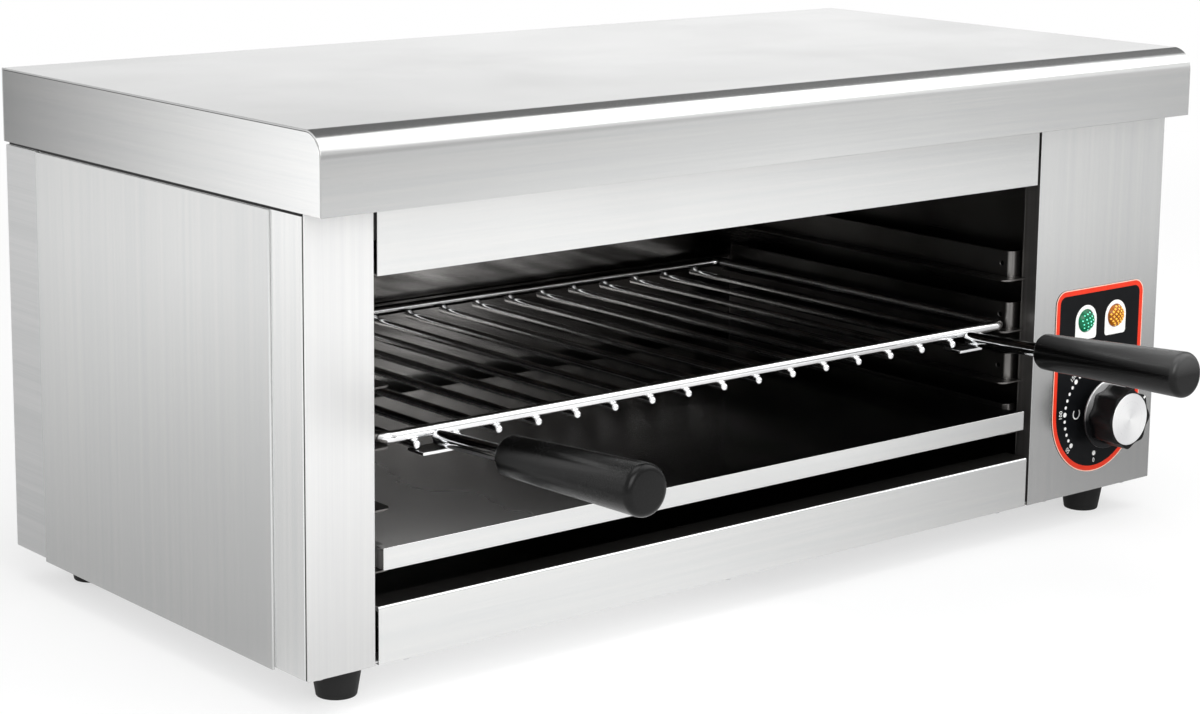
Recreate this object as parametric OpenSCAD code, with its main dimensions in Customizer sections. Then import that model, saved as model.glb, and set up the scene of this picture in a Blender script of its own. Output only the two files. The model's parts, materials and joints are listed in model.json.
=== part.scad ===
// Countertop cheese melter: an electric grill with top heat, a sliding wire rack on four
// levels, a crumb tray, and a control box with a thermostat and two lamps at the right.
// Seen from the front, X runs to the right, Y to the back and Z up.
// X is 0 at the hood's middle, Z is 0 on the worktop, and the model's origin is the middle of
// its base, from the grips' ends to the cable gland's end.

/* [Hood and casing] */
// Width of the hood, end plate to end plate
hood_w = 610; // [590:1:680]
// Depth of the hood, front skirt to rear skirt
hood_d = 300; // [290:1:340]
// Height of the top above the worktop
total_h = 280; // [276:1:310]
// Height of the hood's skirt
skirt_h = 39; // [34:1:46]
// Outer radius of the rolled front edge
roll_r = 12.5; // [8:0.5:18]
// Thickness of the casing's sheet
sheet_t = 1; // [0.8:0.1:1.2]
// How far the hood stands out in front of the body
hood_overhang = 16; // [14:1:24]
// Width of the plain post left of the opening
post_w = 38.4; // [34:0.2:46]
// Width of the control panel
panel_w = 108.4; // [100:0.2:116]
// Height of the rail under the opening
rail_h = 29; // [26:1:32]
// Height of the fascia between the hood's skirt and the opening
fascia_h = 33.5; // [32:0.5:38]
// Depth of the folded edges beside the opening
edge_return = 10.5; // [8:0.5:12]
// How far the side covers stand out from the body
cover_proud = 1.3; // [1:0.1:2]
// Width of the body strip in front of each side cover
front_strip = 28; // [24:1:36]
// Width of the rear strip, where the back panel wraps round the side
rear_strip = 34; // [30:1:42]

/* [Cavity] */
// Room between the opening's edge and the cavity's side wall
wall_offset = 9.7; // [9:0.1:12]
// Room between the cavity's back wall and the back of the casing
back_offset = 14; // [12:1:22]
// Height of the cavity's ceiling above the top of the opening
ceiling_rise = 24.5; // [23:0.5:28]
// Height of the lowest guide ledge above the base
level_first = 43.5; // [42:0.5:46]
// Distance between guide levels
level_pitch = 30; // [28:0.5:31]
// Number of guide levels
level_count = 4; // [3:1:4]
// Width of a guide ledge
ledge_w = 9.5; // [8:0.5:12]
// Height of a guide strip above its ledge
guide_h = 15; // [12:0.5:18]
// Distance from a guide's face to the cavity wall behind it
guide_depth = 16.5; // [15:0.5:20]

/* [Rack] */
// Depth of the rack, front rod to rear rod
rack_d = 245; // [225:1:248]
// Diameter of the rods in the rack's frame
rim_d = 6; // [5:0.5:7]
// Diameter of the rack's wires
wire_d = 4.5; // [3.5:0.5:5]
// Distance between the rack's wires
wire_pitch = 24.8; // [22:0.2:26]
// How far the wires stand out in front of the front rod's middle
wire_reach = 4; // [3:0.5:4.5]
// Distance of each handle from the rack's end
handle_in = 34.5; // [30:0.5:60]
// Diameter of the handles' rods
handle_d = 8; // [6:0.5:9]
// Free length of a handle's rod between rack and grip
handle_reach = 55; // [45:1:70]
// Upward tilt of the handles, in degrees
handle_tilt = 2.7; // [0:0.1:3]
// Length of a grip
grip_l = 100; // [85:1:115]
// Diameter of a grip where the rod enters
grip_d1 = 20; // [18:0.5:22]
// Diameter of a grip at its free end
grip_d2 = 24.6; // [22.5:0.2:27]

/* [Crumb tray] */
// Depth of the tray
tray_d = 252; // [240:1:255]
// Height of the tray's front lip
tray_lip_h = 11; // [9:0.5:12]
// Height of the tray's side skirts
tray_skirt_h = 13.2; // [12.6:0.1:15]

/* [Heating elements] */
// Diameter of an element's sheath
element_d = 7; // [6:0.5:8]
// Distance between an element's two legs
element_gap = 55; // [52:1:58]
// Depth of the first leg behind the body's front
element_first = 54; // [50:1:56]

/* [Controls] */
// Distance of the knob's axis from the body's right edge
knob_in = 51.5; // [48:0.5:56]
// Height of the knob's axis above the base
knob_up = 48.2; // [47:0.2:52]
// Diameter of the knob's grip
knob_d = 36; // [32:1:38]
// Diameter of the bright ring behind the knob
knob_ring_d = 41; // [39:0.5:44]
// Clear distance between the dial plate and that ring
knob_gap = 8.4; // [7:0.2:9]
// How far the knob stands out from the panel
knob_reach = 26.3; // [24:0.1:30]
// Angle of the knob's pointer as stored, from the right, in degrees
pointer_angle = 43; // [0:1:90]
// Width of the dial plate
dial_w = 77.4; // [74:0.2:82]
// Height of the dial plate
dial_h = 112; // [108:1:118]
// Distance between the two lamps
lamp_pitch = 26.2; // [22:0.2:30]
// Height of the lamps above the knob's axis
lamp_up = 56; // [50:0.5:58]
// Diameter of a lamp's lens
lamp_d = 13.9; // [13:0.1:16]

/* [Feet] */
// Height of a foot below the body
foot_h = 19; // [17:1:24]
// Diameter of a foot at the top
foot_d1 = 26; // [22:0.5:28]
// Diameter of a foot at the floor
foot_d2 = 20; // [18:0.5:22]
// Distance of the feet from the hood's ends
foot_in = 33.5; // [32:0.5:40]
// Distance of the front feet from the body's front
foot_back = 24; // [22:0.5:30]
// Distance of the rear feet from the back
foot_rear = 24; // [20:0.5:28]

/* [Cable inlet] */
// Diameter of the gland's bore for the supply cord
gland_bore = 8; // [7:0.5:9]
// How far the gland stands out behind the casing
gland_reach = 16; // [14:1:20]

/* [Hidden] */
$fn = 48;

steel = [0.80, 0.80, 0.81];
inner_steel = [0.33, 0.32, 0.31];
chrome = [0.86, 0.86, 0.87];
black = [0.07, 0.07, 0.07];
brass = [0.75, 0.62, 0.35];

// clearances
seat_gap = 0.3;      // between pieces that lie together without touching
slide_gap = 3;       // beside the rack and the tray in their guides
pin_gap = 0.05;      // round the thermostat's shaft
hole_gap = 0.15;     // round a screw or a thread
joint_gap = 2;       // dark joints at the ends of the fascia and the rail
skirt_gap = 1.8;     // under the hood's skirt, above the side covers
front_lap = 21;      // height of the front's sheets behind the hood's skirt
panel_gap = 0.6;     // between the dial plate and the knob

// levels
z_body = foot_h;
z_plate = z_body + sheet_t;               // underside of the base plate
z_floor = z_plate + sheet_t;              // its upper side
z_skirt = total_h - skirt_h;
z_open1 = z_skirt - fascia_h;
z_under_hood = total_h - sheet_t;
z_open0 = z_body + rail_h;
z_ceiling = z_open1 + ceiling_rise;
z_cover = z_skirt - skirt_gap;
z_front_top = z_skirt + front_lap;        // top of the post, the fascia and the panel
z_rack_ledge = z_body + level_first + (level_count - 2) * level_pitch;
z_tray_ledge = z_body + level_first;

// widths
body_x = hood_w / 2 - sheet_t - seat_gap; // half width of the body
liner_x = body_x - sheet_t;               // inner face of the side frames
inner_x = body_x - 2 * sheet_t;           // inner face behind the joggle
cover_x = body_x + cover_proud;
open_x0 = -body_x + post_w;
open_x1 = body_x - panel_w;
xc = (open_x0 + open_x1) / 2;             // middle of the opening and of the rack
open_u = (open_x1 - open_x0) / 2;         // half width of the opening
wall_u = open_u + wall_offset;            // half width of the cavity
guide_u = wall_u - guide_depth;           // half distance between the guides' faces
rack_u = guide_u - slide_gap;             // half width of the rack
tray_u = guide_u - slide_gap;             // half width of the tray

// depths, from the hood's front skirt
y_front = hood_overhang;                  // front of the body
y_in = y_front + sheet_t;
y_return = y_front + edge_return;         // rear edge of the folds beside the opening
y_back = hood_d;
y_back_in = y_back - sheet_t;
y_cavity = y_back - back_offset;          // back wall of the cavity
y_guide0 = y_return + 3;                  // front of the guides
y_guide1 = y_cavity - 16;
y_ledge0 = y_return - 2;                  // front of the ledges
y_rack0 = y_guide0 - 0.5;                 // front rod of the rack
y_tray0 = y_front + 0.5;
flange = 9;                               // fold under the base plate and behind the sheets
inner_flange = 18;
mid_return = 19;                          // depth of the fascia's and the rail's folds
strip_y1 = y_back - rear_strip;           // rear edge of the side covers
strip_y0 = y_front + front_strip;         // their front edge

// rack and handles
rim_r = rim_d / 2;
wire_r = wire_d / 2;
z_rim = z_rack_ledge + seat_gap + rim_r;
weld_gap = 0.1;
z_wire = z_rim - rim_r - wire_r - weld_gap;
rim_corner = 7;
handle_x = rack_u - handle_in;
wires_each_side = floor((rack_u - rim_d - wire_r - 3) / wire_pitch);
y_wire0 = y_rack0 - wire_reach;
y_wire1 = y_rack0 + rack_d + wire_reach;
y_rod0 = y_rack0 - rim_r - 0.3;      // where the handle rods butt against the front rod
z_rod0 = z_rim - 3.5;
bracket_w = 14;
bracket_t = 1.5;
bracket_reach = 10;
rod_in_grip = 30;
grip_edge = 3.5;
rod_l = handle_reach + rod_in_grip;
grip_front_y = y_rod0 - (handle_reach + grip_l) * cos(handle_tilt)
    - (grip_d2 / 2 - grip_edge) * sin(handle_tilt);

// controls
knob_x = body_x - knob_in;
knob_z = z_body + knob_up;
dial_t = 0.4;
y_dial = y_front - dial_t;
y_knob = y_front - knob_reach;            // front of the knob
y_hub1 = y_dial - panel_gap;
y_ring1 = y_dial - knob_gap;
ring_t = 1.2;
cap_t = 1.5;
cap_d = 30.8;
y_grip1 = y_ring1 - ring_t;
hub_r = 7.5;
ring_gap = 0.1;
flute_count = 8;
flute_r = 8;
flute_floor_r = cap_d / 2 + 0.6;
cap_gap = 0.1;                            // round the cap in its seat
pointer_w = 1.5;
pointer_l = 2;
pointer_deep = 8;
shaft_cover = 6;                          // knob material in front of the shaft's end
press_gap = 0.02;
shaft_r = 3;
shaft_in = 18;
neck_r = 5;
thermo_r = 20;
thermo_l = 22;
thermo_screw = 14;
screw_r = 1.5;
head_r = 3.2;
head_h = 2;
lamp_x = [knob_x + 1 - lamp_pitch / 2, knob_x + 1 + lamp_pitch / 2];
lamp_z = knob_z + lamp_up;
barrel_r = 6;
dial_top = knob_z + 2.3 - dial_w / 2 + dial_h;
box_x0 = xc + wall_u + sheet_t;           // left side of the control box

// elements
element_r = element_d / 2;
z_element = z_ceiling - 16;
bend_r = element_gap / 2;
element_y = [y_front + element_first, y_front + element_first + 2 * element_gap];
leg_y = [for (y = element_y) each [y, y + element_gap]];
x_bend = xc - wall_u + 70;
hanger_x = [xc - 130, xc + 130];
x_element_end = box_x0 + 14;

// places of feet and screws
foot_xy = [for (y = [y_front + foot_back, y_back - foot_rear]) for (s = [-1, 1])
    [s * (hood_w / 2 - foot_in), y]];
foot_screw_r = 2.5;
rail_x0 = open_x0 + joint_gap;
rail_x1 = open_x1 - joint_gap;
bottom_screw_y = y_front + 6;
bottom_screw_x = [rail_x0 + 19, xc, rail_x1 - 19,
    open_x1 + panel_w * 0.18, open_x1 + panel_w * 0.82, -body_x + post_w / 4];
back_screw_x = body_x - 11;
back_screw_z = [z_body + 45, (z_body + 45 + z_cover - 25) / 2, z_cover - 25];
hood_screw_x = [-hood_w / 3, -hood_w / 9, hood_w / 9, hood_w / 3];
hood_screw_z = z_skirt + 10;

// cable inlet
gland_x = box_x0 + 56;
gland_z = z_body + 42;
gland_r = 8;
gland_hex = 12.5;

y_mid = (grip_front_y + y_back + gland_reach) / 2;

// ---------------------------------------------------------------- helpers

module placed() {
    translate([0, -y_mid, 0]) children();
}

module box(x0, x1, y0, y1, z0, z1) {
    translate([x0, y0, z0]) cube([x1 - x0, y1 - y0, z1 - z0]);
}

module rod_x(r, x0, x1, y, z) {
    translate([x0, y, z]) rotate([0, 90, 0]) cylinder(h = x1 - x0, r = r);
}

module rod_y(r, x, y0, y1, z) {
    translate([x, y0, z]) rotate([-90, 0, 0]) cylinder(h = y1 - y0, r = r);
}

// a drawing in the Y and Z plane, drawn out along X
module along_x(x0, x1) {
    translate([x0, 0, 0]) rotate([90, 0, 90]) linear_extrude(x1 - x0) children();
}

// a drawing in the X and Z plane, drawn out along Y
module along_y(y0, y1) {
    translate([0, y1, 0]) rotate([90, 0, 0]) linear_extrude(y1 - y0) children();
}

module rect(a0, a1, b0, b1) {
    translate([a0, b0]) square([a1 - a0, b1 - b0]);
}

// a quarter of a ring in the quadrant with the signs sa and sb
module quarter_ring(a, b, r_out, r_in, sa, sb) {
    translate([a, b]) intersection() {
        difference() {
            circle(r = r_out);
            circle(r = r_in);
        }
        rect(min(0, sa * r_out), max(0, sa * r_out), min(0, sb * r_out), max(0, sb * r_out));
    }
}

module mirror_if(on) {
    if (on) mirror([1, 0, 0]) children();
    else children();
}

// places a piece drawn with its distance from the rack's middle as x, on one side
module on_side(s) {
    translate([xc, 0, 0]) scale_sign(s) children();
}

module scale_sign(s) {
    mirror_if(s < 0) children();
}

function unit(v) = v / norm(v);
function last(v) = v[len(v) - 1];

// a smooth curve through the points p, with k steps between two of them
function on_curve(a, b, c, d, t) = 0.5 * (2 * b + (c - a) * t
    + (2 * a - 5 * b + 4 * c - d) * t * t + (3 * b - a - 3 * c + d) * t * t * t);
function smooth(p, k) = [
    for (i = [0 : len(p) - 2]) for (j = [0 : k - 1])
        on_curve(p[max(i - 1, 0)], p[i], p[i + 1], p[min(i + 2, len(p) - 1)], j / k),
    last(p)
];
function heading(p, i) = unit(p[min(i + 1, len(p) - 1)] - p[max(i - 1, 0)]);
function across(v, t) = unit(v - (v * t) * t);
function carried(p, i, v) = i == len(p) ? []
    : let (w = across(v, heading(p, i))) concat([w], carried(p, i + 1, w));

// a tube of radius r along the points p
module tube(p, r, n = 8) {
    side = carried(p, 0, across([0.3, 0.5, 0.8], heading(p, 0)));
    m = len(p);
    rings = [for (i = [0 : m - 1]) for (j = [0 : n - 1])
        let (s = side[i], c = cross(heading(p, i), s), a = 360 * j / n)
            p[i] + r * (cos(a) * s + sin(a) * c)];
    walls = [for (i = [0 : m - 2]) for (j = [0 : n - 1])
        let (a = i * n + j, b = i * n + (j + 1) % n)
            each [[a, a + n, b], [b, a + n, b + n]]];
    first_cap = [for (j = [1 : n - 2]) [0, j, j + 1]];
    last_cap = [for (j = [1 : n - 2]) [(m - 1) * n, (m - 1) * n + j + 1, (m - 1) * n + j]];
    polyhedron(points = rings, faces = concat(walls, first_cap, last_cap));
}

module at_bottom_screws() {
    for (x = bottom_screw_x) translate([x, bottom_screw_y, z_body]) children();
}

module at_back_screws() {
    for (s = [-1, 1]) for (z = back_screw_z) translate([s * back_screw_x, y_back, z]) children();
}

module at_hood_screws() {
    for (x = hood_screw_x) translate([x, y_back, hood_screw_z]) children();
}

module screw_hole_z() {
    translate([0, 0, -1]) cylinder(h = 8, r = screw_r + hole_gap, $fn = 24);
}

module screw_hole_y() {
    translate([0, 1, 0]) rotate([90, 0, 0]) cylinder(h = 8, r = screw_r + hole_gap, $fn = 24);
}

module foot_room() {
    for (p = foot_xy) translate([p[0], p[1], z_body - 1])
        cylinder(h = sheet_t + 1, r = foot_d1 / 2 + seat_gap);
}

// ---------------------------------------------------------------- hood

module hood_sheet() {
    color(steel) placed() difference() {
        union() {
            along_x(-hood_w / 2, hood_w / 2) {
                rect(roll_r, y_back, z_under_hood, total_h);
                quarter_ring(roll_r, total_h - roll_r, roll_r, roll_r - sheet_t, -1, 1);
                rect(0, sheet_t, z_skirt, total_h - roll_r);
                rect(y_back_in, y_back, z_skirt, total_h);
            }
            box(-hood_w / 2 + sheet_t + seat_gap, hood_w / 2 - sheet_t - seat_gap,
                0, hood_overhang - 4, z_skirt, z_skirt + sheet_t);
        }
        at_hood_screws() screw_hole_y();
    }
}

module hood_end(s) {
    lap = sheet_t + hole_gap;
    corner = roll_r - lap;
    color(steel) placed() mirror_if(s < 0)
        along_x(hood_w / 2 - sheet_t, hood_w / 2) {
            rect(roll_r, y_back - lap, z_skirt, total_h - lap);
            rect(lap, y_back - lap, z_skirt, total_h - roll_r);
            translate([roll_r, total_h - roll_r]) circle(r = corner);
        }
}

module hood_end_left() {
    hood_end(-1);
}

module hood_end_right() {
    hood_end(1);
}

// ---------------------------------------------------------------- front

module front_post() {
    color(steel) placed() difference() {
        union() {
            box(-body_x, open_x0, y_front, y_in, z_body, z_front_top);
            box(open_x0 - sheet_t, open_x0, y_front, y_return, z_floor, z_open1 + 15);
            box(-liner_x, open_x0, y_in, y_in + flange, z_body, z_plate);
        }
        at_bottom_screws() screw_hole_z();
        foot_room();
    }
}

module fascia() {
    color(steel) placed() {
        box(rail_x0, rail_x1, y_front, y_in, z_open1, z_front_top);
        box(rail_x0, rail_x1, y_front, y_in + mid_return, z_open1, z_open1 + sheet_t);
    }
}

module bottom_rail() {
    roll = 1.5;
    color(steel) placed() difference() {
        union() {
            along_x(rail_x0, rail_x1) {
                rect(y_front, y_in, z_body, z_open0 - roll);
                translate([y_front + roll, z_open0 - roll]) circle(r = roll, $fn = 24);
                rect(y_front + roll, y_in + mid_return - 4, z_open0 - sheet_t, z_open0);
                rect(y_in + mid_return - 5, y_in + mid_return - 4, z_open0 - 6, z_open0);
                rect(y_front, y_in + flange, z_body, z_plate);
            }
        }
        at_bottom_screws() screw_hole_z();
    }
}

module panel_holes() {
    rod_y(neck_r + hole_gap, knob_x, y_dial - 1, y_in + 1, knob_z);
    for (x = lamp_x) rod_y(barrel_r + hole_gap, x, y_dial - 1, y_in + 1, lamp_z);
}

module control_panel() {
    color(steel) placed() difference() {
        union() {
            box(open_x1, body_x, y_front, y_in, z_body, z_front_top);
            box(open_x1, open_x1 + sheet_t, y_front, y_return, z_floor, z_open1 + 15);
            box(open_x1, liner_x, y_in, y_in + flange, z_body, z_plate);
        }
        panel_holes();
        for (s = [-1, 1]) translate([knob_x + s * thermo_screw, y_front, knob_z])
            rotate([-90, 0, 0]) cylinder(h = sheet_t, r1 = head_r + hole_gap, r2 = screw_r + hole_gap);
        at_bottom_screws() screw_hole_z();
        foot_room();
    }
}

module front_crossbar() {
    color(steel) placed() {
        box(-liner_x + inner_flange, liner_x - inner_flange, y_in, y_in + sheet_t,
            z_open1 + 17, z_front_top);
        box(-liner_x + inner_flange, liner_x - inner_flange, y_in, y_in + 22,
            z_front_top - sheet_t, z_front_top);
    }
}

// ---------------------------------------------------------------- sides, back and base

module side_frame(s) {
    groove = 0.6;
    joggle = strip_y1 - 4;
    color(steel) placed() mirror_if(s < 0) difference() {
        union() {
            box(liner_x - inner_flange + seat_gap, body_x - groove, y_in, y_in + sheet_t,
                z_floor, z_front_top);
            box(liner_x, body_x, y_in, joggle, z_body, z_under_hood);
            box(inner_x, body_x, joggle - sheet_t, joggle, z_body, z_under_hood);
            box(inner_x, liner_x, joggle - sheet_t, y_back_in - sheet_t, z_body, z_under_hood);
            box(liner_x - inner_flange, inner_x, y_back_in - 2 * sheet_t, y_back_in - sheet_t,
                z_floor, z_under_hood);
            box(liner_x - inner_flange, liner_x, y_in + flange + seat_gap, joggle,
                z_body, z_plate);
            box(liner_x - inner_flange, inner_x, joggle - sheet_t, y_back_in - inner_flange,
                z_body, z_plate);
        }
        box(body_x - groove, body_x + 1, y_in - 1, y_in + 1.4, z_body - 1, z_under_hood + 1);
        at_back_screws() screw_hole_y();
        foot_room();
    }
}

module side_frame_left() {
    side_frame(-1);
}

module side_frame_right() {
    side_frame(1);
}

module side_cover(s) {
    edge = cover_proud / 2;
    color([0.74, 0.74, 0.75]) placed() mirror_if(s < 0)
        translate([0, 0, z_body - 1.2]) linear_extrude(z_cover - z_body + 1.2) {
            rect(body_x, cover_x, strip_y0 + edge, strip_y1 - edge);
            rect(body_x, cover_x - edge, strip_y0, strip_y1);
            for (y = [strip_y0 + edge, strip_y1 - edge])
                translate([cover_x - edge, y]) circle(r = edge, $fn = 24);
        }
}

module side_cover_left() {
    side_cover(-1);
}

module side_cover_right() {
    side_cover(1);
}

module back_panel() {
    slots = 8;
    slot_w = 3;
    slot_h = 42;
    slot_pitch = 8;
    color(steel) placed() difference() {
        union() {
            box(-body_x, body_x, y_back_in, y_back, z_body, z_cover);
            box(-liner_x + 2, liner_x - 2, y_back_in - sheet_t, y_back_in,
                z_cover - sheet_t, z_front_top);
            for (s = [-1, 1]) mirror_if(s < 0)
                box(liner_x, body_x, strip_y1, y_back, z_body, z_cover);
            box(-inner_x, inner_x, y_back_in - inner_flange + seat_gap, y_back_in,
                z_body, z_plate);
        }
        for (x = [box_x0 + 12, -body_x + 34]) for (i = [0 : slots - 1])
            translate([x + i * slot_pitch, y_back_in - 1, z_cover - 28 - slot_h])
                cube([slot_w, 3, slot_h]);
        rod_y(gland_r + hole_gap, gland_x, y_back_in - 1, y_back + 1, gland_z);
        at_back_screws() screw_hole_y();
        at_hood_screws() screw_hole_y();
        foot_room();
    }
}

module base_plate() {
    color([0.7, 0.7, 0.71]) placed() difference() {
        box(-inner_x, inner_x, y_in, y_back_in - sheet_t, z_plate, z_floor);
        at_bottom_screws() screw_hole_z();
        for (p = foot_xy) translate([p[0], p[1], z_plate - 1])
            cylinder(h = sheet_t + 2, r = foot_screw_r + hole_gap, $fn = 24);
    }
}

// ---------------------------------------------------------------- cavity

module floor_pan() {
    pan_z = z_floor + 12;
    u = wall_u - seat_gap;
    leg_in = 18;                          // clear of the foot screws' nuts
    leg_u = wall_u - leg_in;
    y0 = y_return + sheet_t + seat_gap;
    y1 = y_cavity - seat_gap;
    color(inner_steel) placed() translate([xc, 0, 0]) {
        box(-u, u, y0, y1, pan_z, pan_z + sheet_t);
        for (s = [-1, 1]) mirror_if(s < 0) box(leg_u - sheet_t, leg_u, y0, y1, z_floor, pan_z);
        box(-leg_u, leg_u, y0, y0 + sheet_t, z_floor, pan_z);
        box(-leg_u, leg_u, y1 - sheet_t, y1, z_floor, pan_z);
    }
}

module cavity_wall() {
    box(wall_u, wall_u + sheet_t, y_return, y_cavity, z_floor, z_ceiling);
    box(open_u, wall_u + sheet_t, y_return, y_return + sheet_t, z_floor, z_ceiling);
}

module nut_room() {
    for (p = foot_xy) translate([p[0], p[1], z_floor - 1]) cylinder(h = 9, r = 6.5);
}

module cavity_wall_left() {
    color(inner_steel) placed() difference() {
        on_side(-1) cavity_wall();
        nut_room();
    }
}

module cavity_wall_right() {
    color(inner_steel) placed() difference() {
        on_side(1) cavity_wall();
        for (y = leg_y) rod_x(element_r + hole_gap, box_x0 - 3, box_x0 + 2, y, z_element);
        rod_x(2, box_x0 - 3, box_x0 + 2, capillary_y, z_element);
    }
}

module cavity_back() {
    fold_z = z_rack_ledge + 4;
    color(inner_steel) placed() translate([xc, 0, 0]) {
        box(-wall_u - sheet_t, wall_u + sheet_t, y_cavity, y_cavity + sheet_t,
            z_floor, z_ceiling + sheet_t);
        along_x(-wall_u + 2, wall_u - 2)
            translate([y_cavity, fold_z]) circle(r = 1.5, $fn = 24);
    }
}

module cavity_ceiling() {
    fascia_u = open_u - joint_gap;
    y_fold = y_in + mid_return;
    color(inner_steel) placed() translate([xc, 0, 0]) {
        box(-wall_u - sheet_t, wall_u + sheet_t, y_return, y_cavity,
            z_ceiling, z_ceiling + sheet_t);
        box(-fascia_u, fascia_u, y_fold, y_fold + sheet_t, z_open1, z_ceiling);
    }
}

module insulation() {
    color([0.9, 0.88, 0.8]) placed() translate([xc, 0, 0])
        box(-wall_u + 4, wall_u - 4, y_return + 14, y_cavity - 4,
            z_ceiling + sheet_t, z_front_top - sheet_t - seat_gap);
}

// one level: a strip with rounded front and rear ends, and the ledge that carries the rack
module guide_strip() {
    r = 4;
    web = guide_u + sheet_t;
    ledge_u0 = guide_u - ledge_w;
    ledge_r = 5;
    difference() {
        union() {
            linear_extrude(guide_h + sheet_t) {
                rect(guide_u + r, wall_u, y_guide0, y_guide0 + sheet_t);
                quarter_ring(guide_u + r, y_guide0 + r, r, r - sheet_t, -1, -1);
                rect(guide_u, web, y_guide0 + r, y_guide1 - r);
                quarter_ring(guide_u + r, y_guide1 - r, r, r - sheet_t, -1, 1);
                rect(guide_u + r, wall_u, y_guide1 - sheet_t, y_guide1);
            }
            linear_extrude(sheet_t) difference() {
                union() {
                    rect(ledge_u0, web, y_ledge0 + ledge_r, y_guide1 - r);
                    rect(ledge_u0 + ledge_r, open_u - seat_gap, y_ledge0, y_guide0 + sheet_t);
                    translate([ledge_u0 + ledge_r, y_ledge0 + ledge_r]) circle(r = ledge_r);
                    rect(guide_u, guide_u + r, y_guide0, y_guide0 + r);
                }
            }
        }
        translate([guide_u - 2, y_guide0 + r + 3, guide_h / 2 + sheet_t])
            rotate([0, 90, 0]) cylinder(h = 5, r = 1.5, $fn = 24);
    }
}

module guides(s) {
    color(inner_steel) placed() on_side(s) for (i = [0 : level_count - 1])
        translate([0, 0, z_body + level_first - sheet_t + i * level_pitch]) guide_strip();
}

module guides_left() {
    guides(-1);
}

module guides_right() {
    guides(1);
}

// ---------------------------------------------------------------- heating

module element(y) {
    color([0.25, 0.24, 0.23]) placed() {
        for (leg = [y, y + element_gap])
            rod_x(element_r, x_bend, x_element_end, leg, z_element);
        translate([x_bend, y + bend_r, z_element]) rotate([0, 0, 90])
            rotate_extrude(angle = 180) translate([bend_r, 0]) circle(r = element_r);
    }
}

module element_front() {
    element(element_y[0]);
}

module element_rear() {
    element(element_y[1]);
}

module element_hangers() {
    y0 = leg_y[0] - 12;
    y1 = last(leg_y) + 12;
    color(steel) placed() for (x = hanger_x) difference() {
        union() {
            box(x, x + sheet_t, y0, y1, z_element - element_r - 5, z_ceiling);
            box(x, x + 12, y0, y1, z_ceiling - sheet_t, z_ceiling);
        }
        for (y = leg_y) rod_x(element_r + hole_gap, x - 1, x + 2, y, z_element);
    }
}

module element_nuts() {
    color(brass) placed() for (y = leg_y) difference() {
        rod_x(element_r + 3.5, box_x0, box_x0 + 5, y, z_element, $fn = 6);
        rod_x(element_r + hole_gap, box_x0 - 1, box_x0 + 6, y, z_element);
    }
}

module element_terminals() {
    color([0.92, 0.9, 0.85]) placed() for (y = leg_y) {
        rod_x(element_r + 0.8, x_element_end, x_element_end + 5, y, z_element);
        rod_x(2, x_element_end + 5, x_element_end + 15, y, z_element);
    }
}

// ---------------------------------------------------------------- rack, moves on rack_slide

module rack_frame() {
    side = rack_u - rim_r;
    y0 = y_rack0;
    y1 = y_rack0 + rack_d;
    color(chrome) placed() translate([xc, 0, 0]) {
        for (s = [-1, 1]) rod_y(rim_r, s * side, y0 + rim_corner, y1 - rim_corner, z_rim);
        for (y = [y0, y1]) rod_x(rim_r, -side + rim_corner, side - rim_corner, y, z_rim);
        for (c = [[-1, y0, 180], [1, y0, 270], [1, y1, 0], [-1, y1, 90]])
            translate([c[0] * (side - rim_corner), c[1] + (c[1] == y0 ? rim_corner : -rim_corner), z_rim])
                rotate([0, 0, c[2]]) rotate_extrude(angle = 90)
                    translate([rim_corner, 0]) circle(r = rim_r);
    }
}

// a straight wire under the frame's front and rear rods, with rounded ends
module rack_wire() {
    rod_y(wire_r, 0, y_wire0 + wire_r, y_wire1 - wire_r, z_wire, $fn = 24);
    for (y = [y_wire0 + wire_r, y_wire1 - wire_r])
        translate([0, y, z_wire]) sphere(r = wire_r, $fn = 24);
}

module rack_wires() {
    color(chrome) placed() translate([xc, 0, 0])
        for (i = [-wires_each_side : wires_each_side])
            translate([i * wire_pitch, 0, 0]) rack_wire();
}

module rack_brackets() {
    z_top = min(z_rod0 - handle_d / 2, z_wire - wire_r) - weld_gap;
    color(chrome) placed() for (s = [-1, 1]) translate([xc + s * handle_x, 0, 0])
        box(-bracket_w, handle_d / 2, y_rack0 - bracket_reach, y_rack0 + rim_r,
            z_top - bracket_t, z_top);
}

// the handle's own frame: z runs along the rod from the rack to the user
module on_handle(s) {
    translate([xc + s * handle_x, y_rod0, z_rod0]) rotate([90 - handle_tilt, 0, 0]) children();
}

module handle_rod(s) {
    color(chrome) placed() on_handle(s) cylinder(h = rod_l, r = handle_d / 2);
}

module handle_rod_left() {
    handle_rod(-1);
}

module handle_rod_right() {
    handle_rod(1);
}

module grip(s) {
    r1 = grip_d1 / 2;
    r2 = grip_d2 / 2;
    e = grip_edge;
    bore = handle_d / 2 + pin_gap;
    tip = grip_l - e;
    color(black) placed() on_handle(s) translate([0, 0, handle_reach]) difference() {
        rotate_extrude() {
            polygon([[0, 0], [r1 - e, 0], [r1 - e, e], [r1, e], [r2, tip], [r2 - e, tip],
                [r2 - e, grip_l], [0, grip_l]]);
            intersection() {
                union() {
                    translate([r1 - e, e]) circle(r = e);
                    translate([r2 - e, tip]) circle(r = e);
                }
                rect(0, r2, 0, grip_l);
            }
        }
        translate([0, 0, -1]) cylinder(h = rod_in_grip + 1 + pin_gap, r = bore);
    }
}

module grip_left() {
    grip(-1);
}

module grip_right() {
    grip(1);
}

// ---------------------------------------------------------------- tray, moves on tray_slide

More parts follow.
